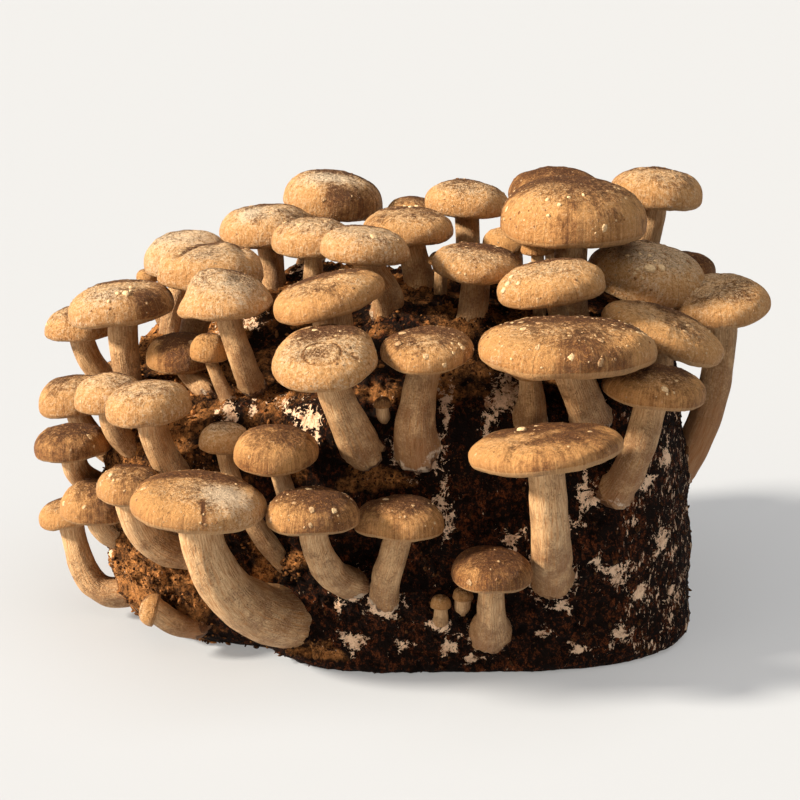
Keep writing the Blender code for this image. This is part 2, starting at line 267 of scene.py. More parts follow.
# %% Finish builder
class Finish:
    """A material, and short ways to add nodes to it."""

    def __init__(self, name, roughness, specular=0.3):
        self.material = bpy.data.materials.new(name)
        self.material.use_nodes = True
        self.tree = self.material.node_tree
        self.shader = self.tree.nodes["Principled BSDF"]
        self.shader.inputs["Roughness"].default_value = roughness
        self.shader.inputs["Specular IOR Level"].default_value = specular
        self.object = self.node("ShaderNodeTexCoord", output="Object")

    def node(self, kind, settings=None, sockets=None, output=0):
        """Adds a node: its settings are set first, then each socket gets its value or its link."""
        made = self.tree.nodes.new(kind)
        for key, value in (settings or {}).items():
            setattr(made, key, value)
        for key, value in (sockets or {}).items():
            if isinstance(value, Wire):
                self.tree.links.new(value.socket, made.inputs[key])
            else:
                made.inputs[key].default_value = value
        return Wire(self, made.outputs[output])

    def value(self, name, output="Fac"):
        """A number, or a vector with output "Vector", that the mesh carries at each point."""
        return self.node("ShaderNodeAttribute", {"attribute_name": name}, output=output)

    def grain(self, scale, detail=2.0, rough=0.5, along=None, warp=0.0):
        """Noise from 0 to 1, on object coordinates unless along says otherwise."""
        sockets = {"Vector": along or self.object, "Scale": scale, "Detail": detail}
        return self.node("ShaderNodeTexNoise", None, {**sockets, "Roughness": rough, "Distortion": warp})

    def chips(self, scale, along):
        """A random number for each of the cells round many scattered points."""
        colour = self.node("ShaderNodeTexVoronoi", None, {"Vector": along, "Scale": scale}, "Color")
        return self.node("ShaderNodeSeparateColor", None, {"Color": colour})

    def lines(self, scale, sharp, warp):
        """Thin winding lines where noise passes its middle: 1 - sharp |n - 0.5|, never below 0."""
        off = self.grain(scale, 3, 0.55, warp=warp) - 0.5
        return (1 - off.math("ABSOLUTE", off) * sharp).clip()

    def vectors(self, operation, first, second):
        """Maths on coordinates; the second value is a wire, a vector or, for SCALE, a number."""
        sockets = {0: first, "Scale" if operation == "SCALE" else 1: second}
        return self.node("ShaderNodeVectorMath", {"operation": operation}, sockets)

    def shifted(self, along, distance, scale):
        """Coordinates pushed about by noise, up to the distance, so that a pattern on them bends."""
        push = self.node("ShaderNodeTexNoise", None, {"Vector": along, "Scale": scale, "Detail": 3.0}, 1)
        push = self.vectors("SCALE", self.vectors("SUBTRACT", push, (0.5, 0.5, 0.5)), distance * 2)
        return self.vectors("ADD", along, push)

    def squeezed(self, *factors):
        """Object coordinates times three factors; one below 1 draws a pattern out along its axis."""
        return self.vectors("MULTIPLY", self.object, factors)

    def mix(self, share, low, high):
        """The first colour where the share is 0 and the second where it is 1."""
        low, high = (c if isinstance(c, Wire) else (*c, 1.0) for c in (low, high))
        sockets = {0: share, 6: low, 7: high}
        return self.node("ShaderNodeMix", {"data_type": "RGBA", "clamp_factor": True}, sockets, 2)

    def bump(self, height, distance):
        """A normal that leans as the height changes; distance is the height in metres of a full step."""
        return self.node("ShaderNodeBump", None, {"Height": height, "Distance": distance, "Strength": 1.0})

    def wear(self, **outputs):
        """Links the shader's own sockets: colour, roughness and normal."""
        names = {"colour": "Base Color", "roughness": "Roughness", "normal": "Normal"}
        for key, wire in outputs.items():
            self.tree.links.new(wire.socket, self.shader.inputs[names[key]])
        return self.material


# %% [markdown]
# ## Colours
#
# A colour is easiest to name as a screen shows it, in steps from 0 to 255. Light adds up in another measure,
# in which a middle grey is only a fifth of white, so each colour is turned into that one first.


# %% Paint
def paint(red, green, blue):
    """(c / 255 + 0.055) / 1.055, to the power 2.4, for each of the three, and c / 255 / 12.92 near black."""
    seen = [c / 255 for c in (red, green, blue)]
    return tuple(((c + 0.055) / 1.055) ** 2.4 if c > 0.04045 else c / 12.92 for c in seen)


print("the cream of a stem, as light:", [round(c, 3) for c in paint(242, 208, 162)])

# %% [markdown]
# ## The block
#
# The substrate is sawdust that was pressed in a bag, so its form is a rounded oblong with a flat underside,
# soft edges and a crumbling left front corner. It could be sculpted, but a formula of the angle round it
# and the level up it gives the same form as the CAD solid, with as fine a grid as the crumbs need.

# %% Block form
BLOCK_HALF_LENGTH = 143 * MM
BLOCK_HALF_DEPTH = 89 * MM
BLOCK_MIDDLE = np.array((-5, 1, 0)) * MM
OUTLINE_POWER = 3.4
CROWN_HEIGHT = 160 * MM
EDGE_HEIGHT = 139 * MM
BOTTOM_ROUND = 5 * MM
TOP_ROUND = 16 * MM
SIDE_BULGE = 1.5 * MM
RIGHT_END_TAPER = 8 * MM
CRUMBLE = 1.5 * MM
# Where the form departs from that: how much, round which angle in degrees, and over what width
CORNER_LOSS = (0.20, 224, 18)
LEFT_BOTTOM_ROUND = (30 * MM, 198, 26)
LEFT_TOP_ROUND = (22 * MM, 205, 30)
LEFT_EDGE_DROP = (18 * MM, 195, 40)
LEFT_TOP_DIP = (1, 195, 50)
BACK_EDGE_RISE = (7 * MM, 90, 45)
print("block, mm:", [round(v / MM) for v in (2 * BLOCK_HALF_LENGTH, 2 * BLOCK_HALF_DEPTH, CROWN_HEIGHT)])

# %% [markdown]
# ## From angle and level to a point
#
# One function gives every point of the block. The angle goes round it. The level climbs from the underside
# over the rounded bottom edge, the side and the top edge to the middle of the top. What makes this block
# differ from a plain oblong is added as soft local changes, each round an angle of its own.


# %% Surface of the block
def local(change, angle):
    """The amount times exp(-(distance in degrees / width)^2)."""
    amount, centre, width = change
    return amount * np.exp(-(((np.degrees(angle) % 360 - centre) / width) ** 2))


def block_surface(angle, level):
    """The oblong |x/a|^p + |y/b|^p = 1, rounded in below at levels 0 to 1, climbing to level 2, rounded in
    at the top edge to level 3 and domed to the crown at level 4, with the local changes added."""
    cosine, sine = np.cos(angle), np.sin(angle)
    outline = (np.abs(cosine) / BLOCK_HALF_LENGTH) ** OUTLINE_POWER
    outline += (np.abs(sine) / BLOCK_HALF_DEPTH) ** OUTLINE_POWER
    radius = outline ** (-1 / OUTLINE_POWER) * (1 - local(CORNER_LOSS, angle))
    bottom = BOTTOM_ROUND + local(LEFT_BOTTOM_ROUND, angle)
    top = TOP_ROUND + local(LEFT_TOP_ROUND, angle)
    edge = EDGE_HEIGHT - local(LEFT_EDGE_DROP, angle) + local(BACK_EDGE_RISE, angle)
    low_turn = np.clip(level, 0, 1) * math.pi / 2
    climb = np.clip(level - 1, 0, 1)
    high_turn = np.clip(level - 2, 0, 1) * math.pi / 2
    inward = np.clip(level - 3, 0, 1)
    height = bottom * (1 - np.cos(low_turn)) + climb * (edge - top - bottom) + top * np.sin(high_turn)
    dip = local(LEFT_TOP_DIP, angle)
    height = height + (CROWN_HEIGHT - edge) * ((1 - dip) * (1 - (1 - inward) ** 2) + dip * inward**2)
    radius = radius - bottom * (1 - np.sin(low_turn)) - top * (1 - np.cos(high_turn))
    radius += SIDE_BULGE * np.sin(math.pi * climb)
    radius -= RIGHT_END_TAPER * np.maximum(cosine, 0) ** 4 * climb
    wave = np.sin(7 * angle + 60 * height) * np.sin(3 * angle - 90 * height)
    radius += CRUMBLE * wave * np.minimum(level, 1)
    radius *= 1 - inward
    return BLOCK_MIDDLE + np.stack([radius * cosine, radius * sine, height], -1)


print("the front at half height, mm:", (block_surface(TAU * 3 / 4, 1.5) / MM).round(1))

# %% [markdown]
# ## The block's grid
#
# The rings run from the middle of the top, over the edge and down the side, to the flat underside. Most of
# them lie on the top and the side, where the crumbs are. More columns face the front than the back, because
# the crumbs are seen closest there.

# %% Grid of the block
BLOCK_COLUMNS = 600
DOME_RINGS, TOP_EDGE_RINGS, SIDE_RINGS, BOTTOM_EDGE_RINGS = 46, 14, 84, 5
around = np.arange(BLOCK_COLUMNS) / BLOCK_COLUMNS * TAU
angles = around - 0.35 * np.cos(around)
levels = np.concatenate([
    np.linspace(3.97, 3, DOME_RINGS),
    np.linspace(3, 2, TOP_EDGE_RINGS)[1:],
    np.linspace(2, 1, SIDE_RINGS)[1:],
    np.linspace(1, 0, BOTTOM_EDGE_RINGS)[1:],
    [0.0],
])
block_grid = block_surface(angles[None], levels[:, None])
# The last ring lies flat on the underside, halfway to its middle
block_grid[-1] = BLOCK_MIDDLE + (block_grid[-2] - BLOCK_MIDDLE) * 0.5
print("block grid:", block_grid.shape, "box in mm:", (np.ptp(block_grid, axis=(0, 1)) * 1000).round())


# %% [markdown]
# ## Where every mushroom grows
#
# One line for each mushroom, in millimetres and degrees: the middle of the cap at its rim, the cap's radius
# and height, its lean to the right and to the front, the stem's radius at the cap and at the foot, the
# point that the stem swings towards, and its place on the block. They are the values of the CAD source, but
# for 01, 14, 18, 35, 44 and 46, whose cap or stem stands a little differently here to follow the
# photograph.

# %% Mushroom table
MUSHROOMS = {
    "mushroom_01": ((-40, 84, 190), 26, 17, (8, 0), (6, 8), (-50, 73, 169), (-56, 64, 148)),
    "mushroom_02": ((1, 82, 185), 13, 9, (0, 0), (4, 4), (1, 78, 167), (1, 72, 146)),
    "mushroom_03": ((29, 58, 195), 21, 12, (3, 0), (6, 6), (30, 50, 175), (30, 42, 148)),
    "mushroom_04": ((76, 82, 195), 24, 14, (0, 0), (7, 7), (78, 74, 168), (78, 66, 144)),
    "mushroom_05": ((78, 0, 197), 36, 23, (0, -2), (8, 9), (78, 3, 178), (78, 5, 148)),
    "mushroom_06": ((124, 50, 202), 24, 13, (3, 0), (7, 7), (118, 49, 174), (114, 46, 142)),
    "mushroom_07": ((-72, 46, 183), 24, 14, (0, -1), (6, 7), (-69, 43, 168), (-68, 40, 150)),
    "mushroom_08": ((-114, 57, 165), 22, 16, (-3, 0), (6, 6), (-125, 50, 142), (-122, 40, 123)),
    "mushroom_09": ((-97, 4, 172), 25, 14, (-1, 0), (6, 7), (-106, 9, 153), (-108, 12, 133)),
    "mushroom_10": ((-47, 7, 186), 20, 13, (0, 0), (4, 6), (-48, 10, 173), (-48, 13, 154)),
    "mushroom_11": ((-22, -27, 191), 22, 11, (4, -2), (7, 8), (-9, -18, 172), (-11, -10, 157)),
    "mushroom_12": ((-1, 24, 190), 23, 10, (0, 1), (7, 8), (4, 22, 174), (5, 24, 158)),
    "mushroom_13": ((51, 28, 182), 15, 8, (0, 0), (5, 5), (52, 27, 171), (52, 25, 148)),
    "mushroom_14": ((32, -16, 181), 22, 9, (5, 3), (7, 8), (30, -21, 163), (28, -25, 148)),
    "mushroom_15": ((65, -51, 179), 25, 12, (-9, 0), (4, 6), (71, -42, 161), (74, -33, 146)),
    "mushroom_16": ((116, 9, 167), 29, 18, (8, 4), (7, 8), (118, 10, 155), (119, 11, 141)),
    "mushroom_17": ((141, 45, 163), 14, 10, (5, 0), (5, 5), (136, 44, 150), (128, 42, 132)),
    "mushroom_18": ((151, -6, 159), 24, 12, (-7, 8), (8, 8), (147, -22, 100), (129, -27, 80)),
    "mushroom_19": ((-86, -48, 170), 23, 16, (-4, -4), (6, 6), (-80, -58, 150), (-75, -46, 131)),
    "mushroom_20": ((-38, -67, 178), 26, 10, (-14, 0), (9, 9), (-35, -66, 158), (-34, -58, 142)),
    "mushroom_21": ((-140, -10, 158), 25, 13, (-6, -2), (7, 6), (-140, -14, 134), (-136, -12, 116)),
    "mushroom_22": ((-165, 22, 139), 17, 12, (-3, 0), (6, 7), (-160, 29, 112), (-136, 26, 95)),
    "mushroom_23": ((-111, -16, 134), 17, 13, (-4, 0), (5, 5), (-102, -26, 126), (-97, -32, 122)),
    "mushroom_24": ((-95, -41, 144), 10, 10, (0, 0), (3, 4), (-91, -44, 134), (-86, -47, 122)),
    "mushroom_25": ((-38, -106, 160), 24, 10, (-4, 14), (7, 10), (-30, -108, 134), (-22, -88, 113)),
    "mushroom_26": ((7, -94, 160), 21, 9, (0, 6), (7, 11), (-1, -106, 134), (3, -88, 113)),
    "mushroom_27": ((69, -97, 162), 39, 13, (0, -3), (8, 9), (77, -102, 142), (82, -86, 127)),
    "mushroom_28": ((118, -47, 156), 29, 10, (20, 2), (5, 6), (119, -49, 147), (117, -48, 134)),
    "mushroom_29": ((109, -96, 143), 23, 10, (4, 0), (7, 8), (101, -106, 110), (95, -86, 92)),
    "mushroom_30": ((-166, 2, 107), 19, 13, (-6, 0), (6, 7), (-162, 2, 84), (-134, 9, 71)),
    "mushroom_31": ((-142, -48, 123), 17, 13, (0, 0), (6, 6), (-142, -50, 108), (-132, -42, 97)),
    "mushroom_32": ((-120, -78, 128), 20, 13, (-4, 0), (7, 8), (-116, -68, 100), (-107, -60, 85)),
    "mushroom_33": ((-163, -36, 96), 18, 11, (-4, 0), (6, 7), (-166, -16, 71), (-134, -10, 62)),
    "mushroom_34": ((-151, -44, 67), 17, 15, (0, 0), (6, 7), (-147, -42, 48), (-126, -24, 46)),
    "mushroom_35": ((-169, -14, 53), 15, 9, (-12, 0), (6, 8), (-165, -17, 3), (-134, -20, 18)),
    "mushroom_36": ((-130, -80, 89), 16, 12, (0, 0), (8, 9), (-124, -72, 54), (-102, -56, 50)),
    "mushroom_37": ((-95, -118, 97), 31, 10, (4, 0), (10, 16), (-86, -104, 33), (-51, -66, 21)),
    "mushroom_38": ((-86, -76, 111), 12, 10, (0, 0), (4, 6), (-68, -80, 60), (-57, -72, 50)),
    "mushroom_39": ((-61, -104, 115), 19, 12, (0, 5), (4, 5), (-57, -92, 96), (-56, -74, 76)),
    "mushroom_40": ((-44, -122, 92), 20, 12, (0, 0), (6, 8), (-41, -112, 58), (-27, -86, 46)),
    "mushroom_41": ((-5, -107, 83), 20, 12, (0, -4), (6, 7), (-13, -106, 56), (-12, -88, 40)),
    "mushroom_42": ((58, -132, 127), 34, 8, (-7, -6), (8, 10), (63, -120, 72), (66, -88, 50)),
    "mushroom_43": ((36, -119, 64), 19, 10, (0, 1), (6, 9), (37, -110, 33), (37, -88, 23)),
    "mushroom_44": ((-122, -68, 25), 8, 7, (-74, 0), (6, 6), (-115, -66, 15), (-104, -60, 14)),
    "mushroom_45": ((-135, 70, 154), 7, 5, (0, 0), (3, 3), (-134, 66, 141), (-124, 58, 125)),
    "mushroom_46": ((61, -10, 187), 8, 5, (0, 0), (3, 3), (62, -10, 168), (63, -8, 149)),
    "mushroom_47": ((15, 9, 177), 6, 5, (0, 0), (3, 3), (15, 9, 165), (15, 9, 149)),
    "mushroom_48": ((54, -86, 147), 8, 5, (0, 0), (5, 8), (55, -96, 138), (54, -86, 125)),
    "bud_1": ((24, -96, 43), 5, 5, (0, 0), (4, 4), (24, -94, 38), (24, -88, 35)),
    "bud_2": ((14, -96, 39), 5, 5, (0, 0), (3, 4), (14, -94, 32), (14, -88, 28)),
    "bud_3": ((-13, -97, 136), 4, 4, (0, 0), (3, 3), (-13, -95, 131), (-12, -88, 127)),
    "mushroom_back_1": ((-98, 110, 118), 22, 13, (-3, -6), (6, 8), (-94, 112, 90), (-88, 88, 74)),
    "mushroom_back_2": ((-58, 120, 92), 20, 12, (0, -8), (6, 8), (-56, 118, 62), (-52, 90, 50)),
    "mushroom_back_3": ((-16, 114, 128), 24, 13, (0, -4), (7, 9), (-14, 116, 96), (-10, 90, 82)),
    "mushroom_back_4": ((30, 118, 84), 23, 13, (0, -5), (7, 9), (28, 118, 52), (24, 90, 40)),
    "mushroom_back_5": ((62, 112, 132), 19, 12, (3, -4), (6, 7), (60, 112, 106), (56, 90, 94)),
    "mushroom_back_6": ((92, 110, 92), 21, 12, (4, -6), (6, 8), (90, 112, 62), (84, 88, 48)),
    "mushroom_back_7": ((-104, 102, 62), 16, 10, (-6, -6), (5, 7), (-100, 104, 40), (-92, 84, 32)),
    "mushroom_back_8": ((-148, 62, 100), 18, 12, (-8, -4), (6, 7), (-146, 58, 72), (-130, 42, 56)),
}
widest = 2 * max(row[1] for row in MUSHROOMS.values())
print(len(MUSHROOMS), "mushrooms; the widest cap is", widest, "mm across")

# %% [markdown]
# ## Crumbs and fungal threads on the block
#
# Sawdust crumbs stand out of the block by a millimetre or two, and in the hollows between them the fungus
# shows as pinkish white patches and vertical streaks. The crumbs are pushed into the grid along its own
# outward direction. The patches are stored as a number at each point, and a finish reads that number.


# %% Sizes of crumbs and places of patches
# Crumbs: cell in mm and height in mm of the broad, the middle and the fine lumps
BROAD_LUMPS, MIDDLE_LUMPS, FINE_LUMPS = (16, 2.2), (6, -4.0), (3.4, 1.4)
MOUND_AT_ROOT = 2.4
BACK_RISE = 9
MIDDLE_RISE = 5
# Middle of each pale patch on the front in mm, then its reach across and up
PATCHES = (
    (-59, 136, 10, 13), (-72, 128, 10, 9), (-48, 122, 10, 9), (-86, 120, 8, 8), (13, 80, 9, 15),
    (44, 136, 11, 13), (36, 128, 5, 9), (16, 132, 5, 9), (8, 109, 9, 7), (-14, 36, 8, 5), (-34, 36, 3, 6),
    (72, 74, 4, 8), (-80, 138, 12, 4), (47, 69, 8, 6), (70, 35, 8, 4), (97, 48, 9, 8), (88, 56, 4, 6),
    (99, 16, 8, 6), (110, 90, 6, 6), (113, 133, 4, 4), (81, 90, 6, 14), (22, 20, 4, 3), (18, 15, 4, 5),
    (-28, 18, 8, 6), (76, 76, 5, 4), (-11, 34, 7, 6), (14, 27, 7, 4), (62, 22, 6, 3), (118, 60, 5, 9),
    (120, 100, 4, 9), (108, 35, 5, 6), (30, 8, 9, 3), (80, 12, 7, 3), (-2, 16, 6, 4), (126, 30, 4, 6),
)
# The same for the places where the crumbs are loose, woody and warm brown
WARM_PLACES = (
    (-80, 136, 30, 12), (-100, 45, 12, 20), (-65, 53, 18, 14), (-44, 12, 12, 7), (-121, 55, 10, 14),
    (24, 145, 26, 8), (-107, 52, 8, 8), (-60, 110, 16, 14), (-20, 100, 16, 10),
)


print("patches of threads:", len(PATCHES), "and warm places:", len(WARM_PLACES))

# %% [markdown]
# ## Fields on the block
#
# A field is a number at every point of the surface: above 0 inside a patch, and falling below 0 outside it.
# An image could be painted instead, but a field needs no picture, can be frayed by noise, and serves the
# shape, the colour and the loose crumbs alike. One field follows the places listed above, and the other
# follows the roots of the mushrooms.


# %% Fields
def outward(grid):
    """The direction across the surface at each point: the cross product of the steps along and down it."""
    round_step = np.roll(grid, -1, 1) - np.roll(grid, 1, 1)
    down_step = np.gradient(grid, axis=0)
    return unit(np.cross(down_step, round_step))


def patch_field(points, patches, seed):
    """For each patch 0.9 - (distance / reach)^2, with a reach that changes three and five times round it, the
    greatest of them all, frayed by noise. It falls to -1 away from the front."""
    frayed = points + 2.5 * MM * np.stack([rough(points, 7 * MM, 3, seed + k) for k in (0, 9, 18)], -1)
    field = np.full(points.shape[:-1], -1.0)
    for x, z, wide, high in patches:
        across, up = (frayed[..., 0] / MM - x) / wide, (frayed[..., 2] / MM - z) / high
        turn = np.arctan2(up, across)
        away = (across**2 + up**2) * (1.1 + 0.5 * np.sin(3 * turn + x) + 0.3 * np.sin(5 * turn + z))
        field = np.maximum(field, 0.9 - away)
    front = smooth(-points[..., 1], 30 * MM, 60 * MM)
    return np.clip(field, -1, 1) * front - (1 - front)


def near_roots(points, reach, names=None):
    """For each root 1 - (distance / (reach times the foot's radius))^2, the greatest of them all."""
    field = np.full(points.shape[:-1], -1.0)
    for name in names or MUSHROOMS:
        foot, root = MUSHROOMS[name][4][1] * MM, np.array(MUSHROOMS[name][6]) * MM
        field = np.maximum(field, 1 - (np.linalg.norm(points - root, axis=-1) / (reach * foot)) ** 2)
    return field


# The roots with a white skirt of threads on the block round them
WHITE_ROOTS = ["mushroom_%02d" % k for k in (26, 27, 29, 40, 41, 42, 43)]
normals = outward(block_grid)
print("the top's middle faces", normals[0, 0].round(2), "and the front", normals[100, 450].round(2))

# %% [markdown]
# ## The crumbled surface
#
# The fields are put together: threads in the patches and round some roots, and warm loose sawdust in its
# places, at the left end and here and there on top. Then the surface is pushed out by broad, middle and fine
# lumps. They are lower under the threads, which bind the crumbs, and higher where the sawdust is loose.

# %% Threads and warm sawdust
frayed_grid = block_grid + 3 * MM * np.stack([rough(block_grid, 6 * MM, 3, 180 + k) for k in (0, 9, 18)], -1)
white = np.maximum(patch_field(block_grid, PATCHES, 100), near_roots(frayed_grid, 1.4, WHITE_ROOTS))
warm = patch_field(block_grid, WARM_PLACES, 140)
left_end = smooth(-block_grid[..., 0], 50 * MM, 105 * MM) * 1.7 - 1.0
warm = np.maximum(warm, left_end + rough(block_grid, 22 * MM, 3, 63) * 0.7)
on_top = smooth(normals[..., 2], 0.4, 0.85)
warm = np.maximum(warm, on_top * 1.1 - 0.9 + rough(block_grid, 14 * MM, 3, 67) * 0.8)
# Round the sides and the back, which the photograph doesn't show, patches are scattered by noise alone
elsewhere = rough(block_grid * (1, 1, 0.6), 26 * MM, 3, 60) * 2.0 - 0.7
white = np.maximum(white, np.where(block_grid[..., 1] > -50 * MM, elsewhere, -1))
below_top = smooth(CROWN_HEIGHT - block_grid[..., 2], 10 * MM, 40 * MM)
right_side = smooth(block_grid[..., 0], 78 * MM, 118 * MM) * below_top
shares = [float((field > 0.3).mean().round(2)) for field in (white, warm)]
print("share of the grid under threads, and warm:", shares)

# %% Crumbled surface
lumps = rough(block_grid, BROAD_LUMPS[0] * MM, 3, 7) * BROAD_LUMPS[1] + 1.2
lumps += np.abs(rough(block_grid, MIDDLE_LUMPS[0] * MM, 3, 21)) * MIDDLE_LUMPS[1]
fine_height = FINE_LUMPS[1] * (1 + 1.6 * smooth(warm, -0.3, 0.5))
lumps += rough(block_grid, FINE_LUMPS[0] * MM, 3, 33) * fine_height
lumps *= (1 - 0.5 * smooth(white, 0, 0.5)) * (1 - 0.45 * right_side)
lumps += MOUND_AT_ROOT * smooth(near_roots(frayed_grid, 1.9), 0, 1)
# The back of the top stands higher, and most so in its middle
at_back = smooth(block_grid[..., 1], 5 * MM, 55 * MM) * smooth(block_grid[..., 0], -110 * MM, -70 * MM)
in_middle = np.exp(-(((block_grid[..., 0] / MM + 48) / 26) ** 2))
lumps += on_top * at_back * (BACK_RISE + MIDDLE_RISE * in_middle)
fade = smooth(levels, 0.0, 1.0)[:, None]
crumbed = block_grid + normals * (lumps * MM * fade)[..., None]
crumbed[..., 2] = np.maximum(crumbed[..., 2], 0)
crumbed[-2:, :, 2] = 0
block = Skins()
values = dict(white=white[None], warm=warm[None], deep=lumps[None], streaky=right_side[None])
block.add(crumbed[None], WHOLE_MAP, **values)
print("lumps from", lumps.min().round(1), "to", lumps.max().round(1), "mm")

# %% [markdown]
# ## Damp sawdust
#
# Damp sawdust is reddish brown on its crumbs, and each chip has a tone of its own. Its hollows are painted
# nearly black, as shade. Where the fungus binds it, threads cover it in pinkish white that is stained by what
# lies below. The finish is built in that order: two browns, painted shade in the hollows, then threads over
# them.


# %% Substrate finish
def substrate_finish():
    """Dark damp crumb of many browns, warmer where it is loose, with painted shade in its hollows, threads in
    the patches and short pale flecks between them."""
    f = Finish("damp_sawdust", 0.9, 0.12)
    fine, grit = f.grain(420, 5, 0.8), f.grain(1100, 3, 0.7)
    chip = f.chips(560, f.shifted(f.squeezed(1.0, 1.0, 0.6), 0.0012, 500))
    deep, broad = f.value("deep"), f.grain(70, 4)
    warm_here = (f.value("warm") * 0.7 + (broad - 0.5) * 1.8 + 0.1).step(0.1, 0.8)
    speck = (fine - 0.5) * 2.6 + (chip - 0.5) * 0.5 + (grit - 0.5) * 1.4 + (broad - 0.5) * 1.2
    dark = f.mix((speck + 0.05).step(0.0, 1.2), paint(20, 9, 5), paint(150, 80, 42))
    brown = f.mix((speck + 0.55).step(0.0, 1.1), paint(54, 29, 16), paint(208, 142, 82))
    colour = f.mix(warm_here, dark, brown)
    # Painted shade: where the lumps lie low, the hollows darken to near black.
    colour = f.mix((deep * -0.35 - 0.1).clip() * 0.85, colour, paint(10, 6, 4))
    torn, web = f.grain(240, 8, 0.75), f.lines(190, 16, 0.8)
    flecks = f.grain(620, 4, 0.7, along=f.squeezed(1.0, 1.0, 0.3))
    white = f.value("white") * 1.3 + (torn - 0.5) * 5.0 + web * 0.7 - 0.55
    short = (flecks - 0.66 + f.value("streaky") * 0.1 + (broad - 0.5) * 0.25) * 9.0
    white = white.math("MAXIMUM", white, short)
    threads = white.step(0.3, 0.45)
    stain = (f.grain(160, 5, 0.7) * 0.8 + grit * 0.4).step(0.4, 0.66)
    colour = f.mix(threads, colour, f.mix(stain, paint(160, 114, 84), paint(242, 208, 176)))
    height = (fine * 1.0 + chip * 0.45) * (1.1 - threads) + grit * 0.35 + threads * 0.5
    return f.wear(colour=colour, normal=f.bump(height, 0.0022))


block.make("sawdust_block", [substrate_finish()], "substrate", "substrate_block")
print("block:", block.triangles, "triangles")

# %% [markdown]
# ## Loose crumbs
#
# Where the block has crumbled, single crumbs of sawdust lie proud of it. One crumb is a lumpy bead of two
# rings of five points. Thousands of them repeat that shape with sizes and turns of their own, so each one
# has only fifteen faces, and all of them are one mesh.


# %% Crumb beads
BEAD_SIDES = 5
BEAD_WIDE = np.array([[0.8], [0.72]])
BEAD_HIGH = np.array([[0.45], [-0.45]])
BEAD_END = 0.7


def crumb_skins(grid, normal, weight, count, rng):
    """Beads: two rings, 0.8 and 0.72 of the crumb's size wide and 0.45 of it above and below its middle, with
    ends at 0.7 of it, all made uneven by random numbers and turned by random axes."""
    place = rng.choice(weight.size, count, p=(weight / weight.sum()).ravel())
    centre, up = grid.reshape(-1, 3)[place], normal.reshape(-1, 3)[place]
    size = (0.35 + rng.exponential(0.24, count)).clip(0.35, 1.5) * MM
    first = unit(rng.normal(size=(count, 3)))
    second = unit(np.cross(first, rng.normal(size=(count, 3))))
    third = np.cross(first, second)
    angle = np.arange(BEAD_SIDES) / BEAD_SIDES * TAU
    x = np.cos(angle) * BEAD_WIDE * rng.uniform(0.65, 1.25, (count, 2, BEAD_SIDES))
    y = np.sin(angle) * BEAD_WIDE * rng.uniform(0.65, 1.25, (count, 2, BEAD_SIDES))
    z = BEAD_HIGH + rng.uniform(-0.15, 0.15, (count, 2, BEAD_SIDES))
    along = rng.uniform(0.8, 2.8, count)
    first = first * along[:, None]
    shape = x[..., None] * first[:, None, None] + y[..., None] * second[:, None, None]
    shape = (shape + z[..., None] * third[:, None, None]) * size[:, None, None, None]
    middle = centre + up * size[:, None] * 0.25
    points = middle[:, None, None] + shape
    points[..., 2] = np.maximum(points[..., 2], 0.2 * MM)
    ends = middle + third * size[:, None] * BEAD_END, middle - third * size[:, None] * BEAD_END
    return points, ends, place, rng.uniform(0, 1, count)


# %% [markdown]
# ## Where the crumbs lie
#
# Each crumb takes a random place on the grid. A place is likelier where the sawdust is warm and loose, in
# clumps, towards the front and away from threads. It is also likelier in a large cell of the grid than in a
# small one, because otherwise the crumbs would crowd where the grid is fine.

# %% Scatter the crumbs
CRUMB_COUNT = 6500
crumb_rng = np.random.default_rng(5)
bare = 1 - smooth(white, 0.0, 0.3)
clumps = smooth(rough(block_grid, 11 * MM, 3, 55), -0.3, 0.5)
to_front = smooth(-crumbed[..., 1], -90 * MM, 60 * MM)
weight = (0.3 + 2.2 * smooth(warm, -0.2, 0.6)) * (0.15 + clumps) * bare * to_front
area = np.linalg.norm(np.cross(np.roll(crumbed, -1, 1) - crumbed, np.gradient(crumbed, axis=0)), axis=-1)
weight = (weight + 0.08) * area * (crumbed[..., 2] > 1.5 * MM)
beads, bead_ends, bead_place, bead_tone = crumb_skins(crumbed, normals, weight, CRUMB_COUNT, crumb_rng)
bead_tone = bead_tone**2 * (0.2 + 0.9 * smooth(warm, -0.5, 0.6).ravel()[bead_place])
crumbs = Skins()
crumbs.add(beads, WHOLE_MAP, 0, bead_ends, tone=bead_tone[:, None, None])
print("mean tone of the crumbs:", bead_tone.mean().round(2))


# %% Crumb finish
def crumb_finish():
    """Bark and sawdust: each crumb has a tone of its own, from black to warm tan."""
    f = Finish("loose_crumbs", 0.9, 0.12)
    tone, fine = f.value("tone"), f.grain(1200, 3)
    colour = f.mix((tone + (fine - 0.5) * 0.9).clip(), paint(40, 23, 13), paint(178, 120, 70))
    return f.wear(colour=colour, normal=f.bump(fine, 0.0008))


crumbs.make("loose_crumbs", [crumb_finish()], "substrate", rounded=False)
print("crumbs:", len(beads), "with", crumbs.triangles, "triangles")

# %% [markdown]
# ## The finishes of a mushroom
#
# A shiitake cap is tan to dark brown: fine fibres run from its middle to a pale lip that rolls inwards, and
# on top the skin cracks into small dark scales. Each cap could be painted by hand. Instead one finish
# serves them all, because it reads numbers that each mesh carries: how far out a point lies, how dark and how
# bloomed this cap is, and coordinates that wrap round the cap, so that the fibres meet where the circle
# closes.


